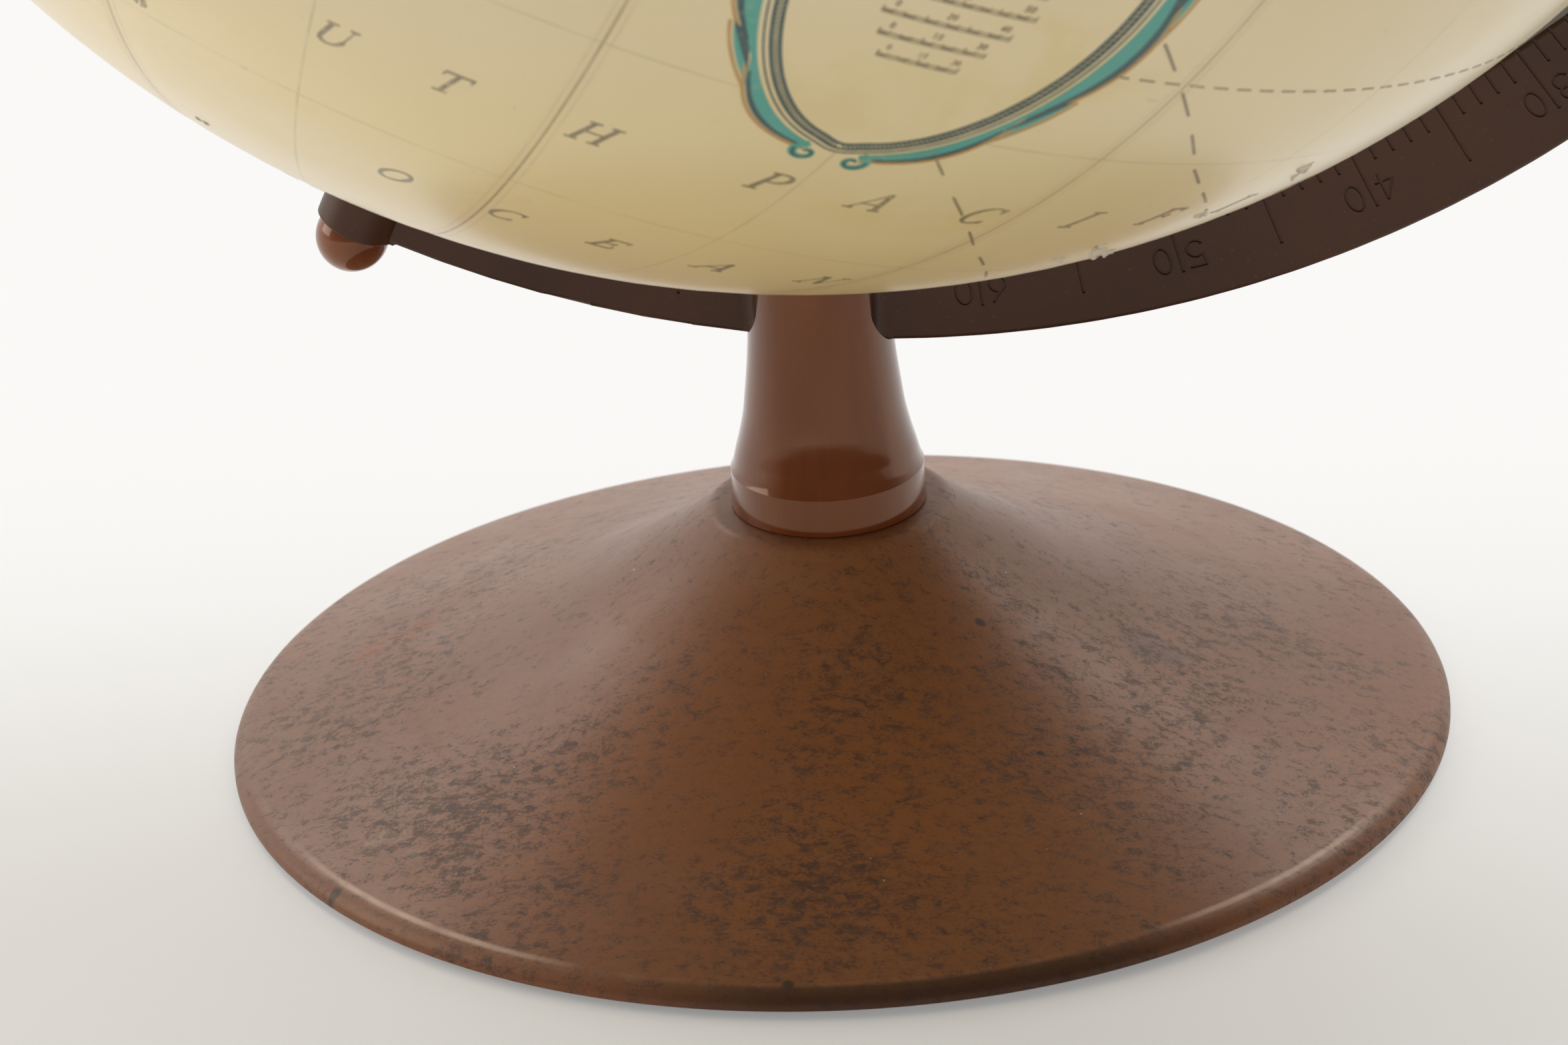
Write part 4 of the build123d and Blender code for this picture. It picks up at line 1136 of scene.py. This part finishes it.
# text, latitude, true longitudes of the first and last letter, letter height
SPREAD_NAMES = (
    ("NORTH PACIFIC", 33, 158, 222, 0.0056), ("OCEAN", 22, 176, 208, 0.0050),
    ("NORTH ATLANTIC", 34, -66, -20, 0.0048), ("OCEAN", 25, -56, -32, 0.0044),
    ("SOUTH ATLANTIC", -26, -30, 10, 0.0044), ("OCEAN", -36, -24, 4, 0.0044),
    ("INDIAN", -18, 62, 96, 0.0052), ("OCEAN", -28, 66, 94, 0.0048),
)
for text, lat, west, east, height in SPREAD_NAMES:
    for char, lon in zip(text, np.linspace(west + REAL, east + REAL, len(text))):
        if char != " ":
            put_letter(names, char, lat, lon, height)

FIGURE_H = 0.0019


def degree_figure(text, lat, lon):
    pitch = 0.66 * (FIGURE_H / DEG) / max(math.cos(math.radians(lat)), 0.2)
    for i, char in enumerate(text):
        lon_i = lon + (i - (len(text) - 1) / 2) * pitch
        put_letter(figures, char, lat, lon_i, FIGURE_H, slant=0.10)


for true_lon in range(-180, 180, 15):
    degree_figure(str(abs(true_lon)), 2.3, true_lon + REAL + 2.6)
for true_lon in (-180.0, -30.0, 90.0):
    for lat in (15, 30, 45, 60, 75):
        for sign in (1, -1):
            lon = true_lon + REAL + 2.2 / math.cos(math.radians(lat))
            degree_figure(str(lat), lat * sign + 1.1, lon)

# ------------------------------------------------------------------ dashed circles and tracks
dashes = Layer()


def dash(lat0, lon0, lat1, lon1, width):
    lat, lon = (lat0 + lat1) / 2, (lon0 + lon1) / 2
    cos_lat = math.cos(math.radians(lat))
    x = ((lon - CARTOUCHE_LON + 180) % 360 - 180) * cos_lat * DEG * 1000 / (OVAL_W + 6)
    y = (lat - CARTOUCHE_LAT) * DEG * 1000 / (OVAL_H + 5)
    if x * x + y * y < 1:       # nothing is printed under the cartouche
        return
    to_chart, to_ball = chart(lat, lon)
    n = max(2, int(abs(lon1 - lon0) * cos_lat / 0.9 + abs(lat1 - lat0) / 0.9) + 1)
    path = to_chart(np.linspace(lat0, lat1, n), np.linspace(lon0, lon1, n))
    dashes.strip(ribbon(path, width / DEG), to_ball)


def track(points, length, gap, width=0.00040):
    """Dashes along a list of local (lat, lon) points; length and gap in degrees."""
    p = np.array(points, float)
    x = p[:, 1] * np.cos(np.radians(p[:, 0].mean()))
    sides = np.hypot(np.diff(p[:, 0]), np.diff(x))
    along = np.concatenate([[0], np.cumsum(sides)])
    s = 0.0
    while s + length < along[-1]:
        start, end = (
            (np.interp(v, along, p[:, 0]), np.interp(v, along, p[:, 1])) for v in (s, s + length)
        )
        dash(*start, *end, width)
        s += length + gap


for lat in (23.44, -23.44, 66.56, -66.56):      # tropics and polar circles
    pitch = 1.5 / math.cos(math.radians(lat))
    for q in range(int(360 / pitch)):
        lon = -180 + q * pitch
        dash(lat, lon, lat, lon + pitch * 0.58, width=0.00028)

track([(-20.8, -51.3), (-24.7, -46.8), (-31.0, -39.7), (-37.6, -29.0)], length=2.4, gap=2.2)
track([(-31.4, -57.9), (-34.6, -54.3), (-41.1, -46.2), (-47.0, -37.1)], length=2.4, gap=2.6,
      width=0.00034)
track([(22, -84), (5, -72), (-8, -58)], length=2.2, gap=2.0)
track([(34, -48), (20, -90), (2, -120), (-20, -134), (-34, -150)], length=2.2, gap=2.0)

# ------------------------------------------------------------------ cartouche, in mm from its middle
# An oval of rope with leaf scrolls up both sides, a compass rose and ruled scales inside.
cartouche_to_ball = chart(CARTOUCHE_LAT, CARTOUCHE_LON)[1]
leaves, rope, outlines, scales = Layer(), Layer(), Layer(), Layer()


def mm_to_ball(p):
    return cartouche_to_ball(np.asarray(p, float) / MM)


def oval(t, off=0.0):
    """Pointed-foot oval: t in degrees, -90 at the foot; off in mm, outwards."""
    t = np.asarray(t, float)
    a = np.radians(t)
    x = OVAL_W * np.cos(a) * (1 - 0.10 * (np.sin(a) < 0) * np.sin(a) ** 2)
    y = OVAL_H * np.sin(a)
    y = y - 0.8 * np.clip(-np.sin(a), 0, 1) ** 10 * np.exp(-(x / 2.2) ** 2)
    dx, dy = np.gradient(x, t), np.gradient(y, t)
    length = np.maximum(np.hypot(dx, dy), 1e-9)
    return np.stack([x + off * dy / length, y - off * dx / length], 1)


def rope_oval():
    """Three rings, and slanted strands between the inner two."""
    for off, width in ((0.0, 0.42), (1.15, 0.42), (2.0, 0.26)):
        path = oval(np.linspace(-90, 270, 361), off)[:-1]
        rope.strip(ribbon(path, width, closed=True), mm_to_ball)
    t = np.linspace(-90, 270, 261)
    inner, outer = oval(t, 0.12), oval(t, 1.03)
    for i in range(len(t) - 2):
        inner_end = inner[i] * 0.62 + inner[i + 1] * 0.38
        outer_end = outer[i + 1] * 0.62 + outer[i + 2] * 0.38
        rope.strip([[inner[i], inner_end, outer_end, outer[i + 1]]], mm_to_ball, lift=0.00008)


def leaf_band(side):
    """Scroll band up one side: swelling and thinning, with leaf tips thrown outwards."""
    mirror = np.array((side, 1))
    t = np.linspace(-84, 60, 190)
    s = (t + 84) / 144
    swell = np.abs(np.sin(np.pi * (s * 3.0 + 0.12))) ** 1.3
    width = 0.7 + 2.9 * swell * (0.35 + 0.65 * np.minimum(1, s * 3))
    inner = oval(t, 2.75)
    out = oval(t, 1.0) - oval(t, 0.0)
    outer = inner + out * width[:, None]
    leaves.strip(between(inner * mirror, outer * mirror), mm_to_ball)
    # dark shading along the outer third and an ochre outline beyond it
    shade = inner + out * (width * 0.70)[:, None]
    quads = between(shade * mirror, outer * mirror)
    rope.strip([q for q, w in zip(quads, width) if w > 1.3], mm_to_ball, lift=0.00008)
    outlines.strip(ribbon((outer + out * 0.45) * mirror, 0.46), mm_to_ball)

    # leaf tips: where each starts on the band in degrees, length in mm, outward lift
    for start, length, raised in ((-52, 5.4, 0.9), (-14, 6.4, 1.0), (26, 6.0, 1.1)):
        i = int(np.argmin(np.abs(t - start)))
        j = min(i + 16, len(t) - 2)
        along = (outer[j] - outer[i]) / max(np.linalg.norm(outer[j] - outer[i]), 1e-9)
        tip = outer[j] + along * length + out[j] * length * 0.42 * raised
        u = np.linspace(0, 1, 10)[:, None]

        def edge(root, control):
            return (1 - u) ** 2 * root + 2 * u * (1 - u) * control + u ** 2 * tip

        far = edge(outer[i], outer[j] + out[j] * 2.4)
        near = edge(outer[j], outer[j] + along * length * 0.55 + out[j] * 0.2)
        leaves.strip(between(near * mirror, far * mirror), mm_to_ball)
        middle = near * 0.45 + far * 0.55
        rope.strip(between(near * mirror, middle * mirror), mm_to_ball, lift=0.00008)
        outlines.strip(ribbon((far + out[j] * 0.5) * mirror, 0.42), mm_to_ball)

    # foot curl
    n = 40
    a = np.radians(np.linspace(80, -320, n))
    radius = np.linspace(2.0, 0.35, n)
    centre = oval(np.array([-86.0, -85.0, -84.0]), 3.2)[1] + np.array([0.2, -1.3])
    curl = (centre + np.stack([radius * np.cos(a), radius * np.sin(a)], 1)) * mirror
    leaves.strip(ribbon(curl, np.linspace(1.3, 0.5, n)), mm_to_ball, lift=0.00007)
    rope.strip(ribbon(curl[6:], np.linspace(0.4, 0.25, n - 6)), mm_to_ball, lift=0.00009)


def rule(x0, x1, y, width):
    path = np.stack([np.linspace(x0, x1, 12), np.full(12, y)], 1)
    scales.strip(ribbon(path, width), mm_to_ball)


def scale_text(text, x, y, height):
    for i, char in enumerate(text):
        x_i = x + (i - (len(text) - 1) / 2) * (0.70 * height)
        lat, lon = mm_to_ball(np.array([[x_i, y]]))
        put_letter(scales, char, float(lat[0]), float(lon[0]), height / 1000, slant=0.12)


def ruled_scale(half, y, parts, text_height):
    """Double rule with ticks, every other part filled, and three figures above."""
    line = 0.14
    rule(-half, half, y, line)
    rule(-half, half, y - 0.5, line)
    xs = [-half + (half + half) * q / parts for q in range(parts + 1)]
    for q, x in enumerate(xs):
        top = y - 0.5 + (1.1 if q % 4 == 0 else 0.8)
        scales.strip(ribbon([(x, y - 0.5), (x, top)], line), mm_to_ball)
    for q in range(0, parts, 2):
        rule(xs[q], xs[q + 1], y - 0.25, 0.42)
    unit = parts // 4 + 1
    for q, text in enumerate(("0", str(5 * unit), str(10 * unit))):
        scale_text(text, -half + (half + half) * (0.08 + 0.42 * q), y + 1.45, text_height)


def compass_rose():
    centre = np.array([0.0, 12.0])
    # ray length and half width, by rank: cardinal, diagonal, between
    cardinal, diagonal, minor = (9.0, 1.3), (6.2, 0.95), (4.2, 0.5)
    for q in range(16):
        length, half = cardinal if q % 4 == 0 else (diagonal if q % 2 == 0 else minor)
        a = math.radians(90 - q * 22.5)
        ray = np.array([math.cos(a), math.sin(a)])
        side = np.array([-math.sin(a), math.cos(a)]) * half
        tip, waist = ray * length, ray * (half * 1.1)
        blunt = centre + tip * 0.999
        rope.strip([[centre, centre + waist - side, centre + tip, blunt]], mm_to_ball)
        outlines.strip([[centre, centre + tip, blunt, centre + waist + side]], mm_to_ball)
    a = np.radians(np.arange(0, 360, 5))
    for radius in (3.0, 10.4, 11.0):
        ring = np.stack([radius * np.cos(a), 12 + radius * np.sin(a)], 1)
        scales.strip(ribbon(ring, 0.22, closed=True), mm_to_ball, lift=0.00005)


rope_oval()
leaf_band(-1)
leaf_band(1)
for half, y, parts, text_height in (
    (9.5, -4.6, 12, 1.1), (10.0, -8.6, 16, 1.1), (8.6, -12.6, 12, 1.0),
    (7.2, -16.4, 10, 1.0), (5.4, -20.2, 8, 0.9),
):
    ruled_scale(half, y, parts, text_height)
compass_rose()

names.build("print_ocean_names", INK)
figures.build("print_degree_figures", INK)
dashes.build("print_dashed_lines", INK)
rope.build("print_cartouche_rope", DEEP)
leaves.build("print_cartouche_leaves", TEAL)
outlines.build("print_cartouche_outline", OCHRE)
scales.build("print_cartouche_scales", INK)

# ------------------------------------------------------------------ small torn flakes of paper
# lat, lon, length, width, lift of the tip (mm), direction (degrees)
FLAKES = (
    (-41.6, -33.6, 2.2, 2.6, 0.85, -60), (-42.4, -31.4, 1.6, 1.8, 0.60, -40),
    (-40.4, -35.2, 1.8, 1.3, 0.40, -75), (-42.9, -35.9, 1.4, 1.6, 0.45, -50),
    (-36.6, -31.2, 1.2, 1.6, 0.30, -60), (-31.4, -28.6, 1.8, 2.2, 0.55, -50),
    (-32.6, -27.4, 1.3, 1.2, 0.35, -70), (8.0, 41.0, 1.6, 1.5, 0.35, 30),
    (-52.0, 11.0, 1.6, 1.8, 0.35, 100),
)
FLAKE_THICK = 0.14              # mm


def flake(verts, faces, seed, lat, lon, length, width, lift, turn):
    """Adds a ragged scrap, glued at its root and curling up to its tip."""
    rng = random.Random(seed)
    to_ball = chart(lat, lon)[1]
    c, s = math.cos(math.radians(turn)), math.sin(math.radians(turn))
    rows, cols = 9, 7
    top, bottom = [], []
    for i in range(rows):
        u = i / (rows - 1)
        half = width / 2 * (1 - 0.35 * u) * (1 + rng.uniform(-0.28, 0.28))
        for j in range(cols):
            v = 2 * j / (cols - 1) - 1
            x = u * length * (1 + 0.16 * rng.uniform(-1, 1) * (u > 0.5))
            y = v * half
            h = lift * u ** 1.6 * (0.75 + 0.25 * math.cos(v * 2.2 + seed)) + 0.06
            la, lo = to_ball(np.array([[(x * c - y * s) / MM, (x * s + y * c) / MM]]))
            top.append(ball_point(la[0], lo[0], h / 1000))
            bottom.append(ball_point(la[0], lo[0], (h - FLAKE_THICK) / 1000))
    first, n = len(verts), rows * cols
    verts.extend(top + bottom)

    def corner(i, j):
        return first + i * cols + j

    for i in range(rows - 1):
        for j in range(cols - 1):
            quad = (corner(i, j), corner(i + 1, j), corner(i + 1, j + 1), corner(i, j + 1))
            faces.append(quad)
            faces.append(tuple(k + n for k in quad[::-1]))
    for at, after in grid_rim(rows, cols):
        a, b = corner(*at), corner(*after)
        faces.append((b, a, n + a, n + b))


flake_verts, flake_faces = [], []
for seed, entry in enumerate(FLAKES, 1):
    flake(flake_verts, flake_faces, seed, *entry)
flakes = make("torn_flakes", flake_verts, flake_faces, torn_material(), "globe")
face_outwards(flakes)
sharp_by_angle(flakes, 50)


# ------------------------------------------------------------------ turned pieces
def lathe(name, profile, place, segments, sharp, material, body, replaces):
    """Closed (radius, height) loop turned round an axis; place gives each point's position."""
    count = len(profile)
    verts, faces = [], []
    for s in range(segments):
        a = 2 * math.pi * s / segments
        verts += [place(r * math.cos(a), r * math.sin(a), z) for r, z in profile]
        after = (s + 1) % segments
        for i in range(count):
            j = (i + 1) % count
            faces.append((s * count + i, after * count + i, after * count + j, s * count + j))
    ob = make(name, verts, faces, material, body, replaces)
    face_outwards(ob)
    sharp_by_angle(ob, sharp)


def strip_profile(inner_r, outer_r, half_width, n):
    """Section of a band that follows the ball."""
    zs = np.linspace(-half_width, half_width, n)
    outer = [(math.sqrt(outer_r * outer_r - z * z), z) for z in zs]
    return np.array(outer + [(math.sqrt(inner_r * inner_r - z * z), z) for z in zs[::-1]])


def on_axle(x, y, z):
    return CENTRE + LON_0 * x + LON_90 * y + AXLE * z


lathe("equator_strip", strip_profile(0.15241, 0.15260, 0.003, 7), on_axle, segments=360, sharp=30,
      material=BAND, body="globe", replaces=("equator_tape",))

# foot dish, (radius, z) in mm: top face from the rim's shoulder up to the hub
DISH_TOP = [
    (87.0, 4.0), (83.8, 5.12), (80.75, 6.08), (74.7, 8.01), (68.6, 9.99), (63.6, 11.75),
    (56.5, 14.16), (48.4, 17.3), (41.4, 20.5), (34.3, 24.26), (29.3, 27.36),
    (24.2, 30.67), (20.7, 33.29), (18.5, 35.0),
]
DISH_RIM = [
    (89.2, 1.2), (89.2, 1.9), (89.05, 2.28), (88.87, 2.6), (88.6, 2.94), (88.33, 3.19),
    (87.95, 3.5), (87.5, 3.77),
]
DISH_HUB = [
    (17.9, 35.6), (17.3, 36.0), (16.7, 36.22), (16.1, 36.3), (14.0, 36.3), (11.0, 36.3),
    (8.1, 36.3),
]
DISH_HUB_UNDER = [(8.1, 35.1), (12.0, 35.1), (15.4, 35.1), (16.5, 34.9)]
DISH_RIM_UNDER = [(87.1, 2.72), (87.5, 2.5), (87.85, 2.15), (88.0, 1.8), (88.0, 1.2)]
DISH_THICK = 1.2
# knocks: x, y, radius, depth in mm
KNOCKS = (
    (46.5, -10.0, 4.2, 0.28), (-60, 9, 7.0, 0.16), (52, 27, 3.2, 0.12), (-23, -66, 6.0, 0.10),
    (8, -60, 9.0, 0.07),
)


def spline(points, n):
    """Catmull-Rom through points, n samples a span."""
    p = np.asarray(points, float)
    p = np.vstack([2 * p[0] - p[1], p, 2 * p[-1] - p[-2]])
    out = []
    for i in range(1, len(p) - 2):
        a, b, c, d = p[i - 1:i + 3]
        for u in np.arange(n) / n:
            out.append(0.5 * (2 * b + (c - a) * u + (2 * a - 5 * b + 4 * c - d) * u * u
                              + (3 * b - a - 3 * c + d) * u ** 3))
    out.append(p[-2])
    return np.array(out)


def dish_profile():
    top = spline(DISH_TOP, 5)
    along = np.gradient(top, axis=0)
    along /= np.linalg.norm(along, axis=1)[:, None]
    under = top + np.stack([-along[:, 1], along[:, 0]], 1) * DISH_THICK
    loop = (DISH_RIM, top, DISH_HUB, DISH_HUB_UNDER, under[::-1], DISH_RIM_UNDER)
    return np.vstack(loop) / 1000


def dented(x, y, z):
    """Two round creases, slow waves and the knocks; the underside follows the top."""
    r = math.hypot(x, y) * 1000
    if r < 19.5 or r > 88.2:
        return np.array([x, y, z])
    a = math.atan2(y, x)
    h = -0.10 * math.exp(-((r - 62.8 - 0.5 * math.sin(3 * a)) / 1.0) ** 2)
    h -= 0.09 * math.exp(-((r - 34.2 - 0.3 * math.sin(2 * a + 1)) / 0.9) ** 2)
    h += 0.05 * math.sin(2 * a + 0.6) * math.exp(-((r - 58) / 16) ** 2)
    h += 0.03 * math.sin(7 * a + r * 0.11) * math.exp(-((r - 66) / 14) ** 2)
    for cx, cy, radius, depth in KNOCKS:
        q = ((x * 1000 - cx) ** 2 + (y * 1000 - cy) ** 2) / radius ** 2
        if q < 9:
            h -= depth * math.exp(-q)
    fade = min(1.0, (r - 19.5) / 3.0) * min(1.0, max(0.0, (88.2 - r) / 2.0))
    return np.array([x, y, z + h * fade / 1000])


lathe("foot_dish", dish_profile(), dented, segments=384, sharp=32,
      material=SLOT_MATERIALS["dish_paint"], body="stand", replaces=("base_dish",))


# ------------------------------------------------------------------ floor
def floor_material():
    """Pale grey floor that turns into an even glow towards the back."""
    sh = material_shader("sweep_floor")
    y = sh.separate(sh.obj)[1]
    tone = sh.noise(scale=3.0, detail=3, rough=0.5)
    grey = sh.mix(tone, (0.80, 0.80, 0.785, 1.0), (0.83, 0.83, 0.815, 1.0))
    far = y.fade(span=(-0.075, 0.125), out=(0.26, 1.0))
    sh.finish(color=grey, rough=0.55, spec=0.22)
    glow = sh.add("Emission", (0.956, 0.947, 0.930, 1.0))
    surface = Wire(sh, sh.find("BSDF_PRINCIPLED").outputs[0])
    blend = sh.add("MixShader", far, surface, Wire(sh, glow.outputs[0]))
    sh.put(sh.find("OUTPUT_MATERIAL").inputs["Surface"], Wire(sh, blend.outputs[0]))
    return sh.owner


def build_floor():
    n, z = 64, -0.0001
    radii = (0.15, 0.4, 1.0, 2.5, 6.0)
    verts = [(0, 0, z)]
    for r in radii:
        angles = [2 * math.pi * s / n for s in range(n)]
        verts += [(r * math.cos(a), r * math.sin(a), z) for a in angles]
    faces = [(0, 1 + s, 1 + (s + 1) % n) for s in range(n)]
    for ring in range(len(radii) - 1):
        for s in range(n):
            a, b = 1 + ring * n + s, 1 + ring * n + (s + 1) % n
            faces.append((a, a + n, b + n, b))
    make("floor", verts, faces, floor_material())


build_floor()

# ------------------------------------------------------------------ room and lights
world = bpy.data.worlds.new("studio")
scene.world = world
room = Shader(world)
dark_side = Vector((0.30, -0.93, 0.22)).normalized()    # towards the front, behind the camera
gaze = Wire(room, room.coords.outputs["Generated"])
facing = room.vector("DOT_PRODUCT", gaze, tuple(dark_side))
background = room.find("BACKGROUND")
background.inputs["Color"].default_value = (1.0, 0.995, 0.985, 1)
room.put(background.inputs["Strength"], facing.fade(span=(-0.45, 0.55), out=(1.05, 0.10)))


def area(name, place, target, size, power, colour):
    """Rectangular light at a place, facing the target; size is width and height."""
    light = bpy.data.lights.new(name, "AREA")
    light.shape = "RECTANGLE"
    light.size, light.size_y = size
    light.energy = power
    light.color = colour
    ob = bpy.data.objects.new(name, light)
    scene.collection.objects.link(ob)
    ob.location = place
    ob.rotation_mode = "QUATERNION"
    ob.rotation_quaternion = (Vector(target) - Vector(place)).to_track_quat("-Z", "Y")
    return ob


area("key_left", place=(-0.80, 0.80, 1.00), target=(0, 0, 0.05), size=(0.40, 0.7), power=3.2,
     colour=(1, 0.99, 0.97))
area("key_right", place=(0.58, 0.78, 1.20), target=(0, 0, 0.05), size=(0.6, 0.7), power=8.0,
     colour=(1, 0.99, 0.98))
area("side_left", place=(-1.3, -0.1, 0.62), target=(0, 0, 0.2), size=(0.9, 0.9), power=5.0,
     colour=(1, 0.98, 0.95))
for fill in (
    area("low_fill", place=(-0.25, -1.0, 0.10), target=(0, 0, 0.15), size=(0.9, 0.14),
         power=1.3, colour=(1, 0.93, 0.84)),
    area("low_fill_right", place=(0.9, -0.7, 0.12), target=(0.05, 0, 0.15), size=(0.6, 0.14),
         power=0.7, colour=(1, 0.95, 0.88)),
    area("front_fill", place=(0.15, -1.1, 0.9), target=(0, 0, 0.0), size=(1.2, 1.2),
         power=1.5, colour=(1, 0.97, 0.93)),
):
    fill.visible_glossy = False
    fill.visible_camera = False

# ------------------------------------------------------------------ camera
lens = bpy.data.cameras.new("camera")
lens.sensor_fit = "HORIZONTAL"
lens.sensor_width = 36.0
lens.lens = 144.573367
camera = bpy.data.objects.new("camera", lens)
scene.collection.objects.link(camera)
ahead = Vector((-0.12712277, 0.90002461, -0.41688787)).normalized()
right = Vector((0.99188526, 0.11613325, -0.05173674)).normalized()
above = right.cross(ahead).normalized()
turn = Matrix((right, above, -ahead)).transposed()
camera.matrix_world = (
    Matrix.Translation((0.10940558, -0.82281834, 0.41349116)) @ turn.to_4x4()
)
lens.clip_start, lens.clip_end = 0.01, 50
lens.dof.use_dof = True
focus = bpy.data.objects.new("focus_point", None)
scene.collection.objects.link(focus)
focus.location = (-0.0031, -0.0263, 0.0446)     # on the front of the foot
lens.dof.focus_object = focus
lens.dof.aperture_fstop = 42.0
scene.camera = camera
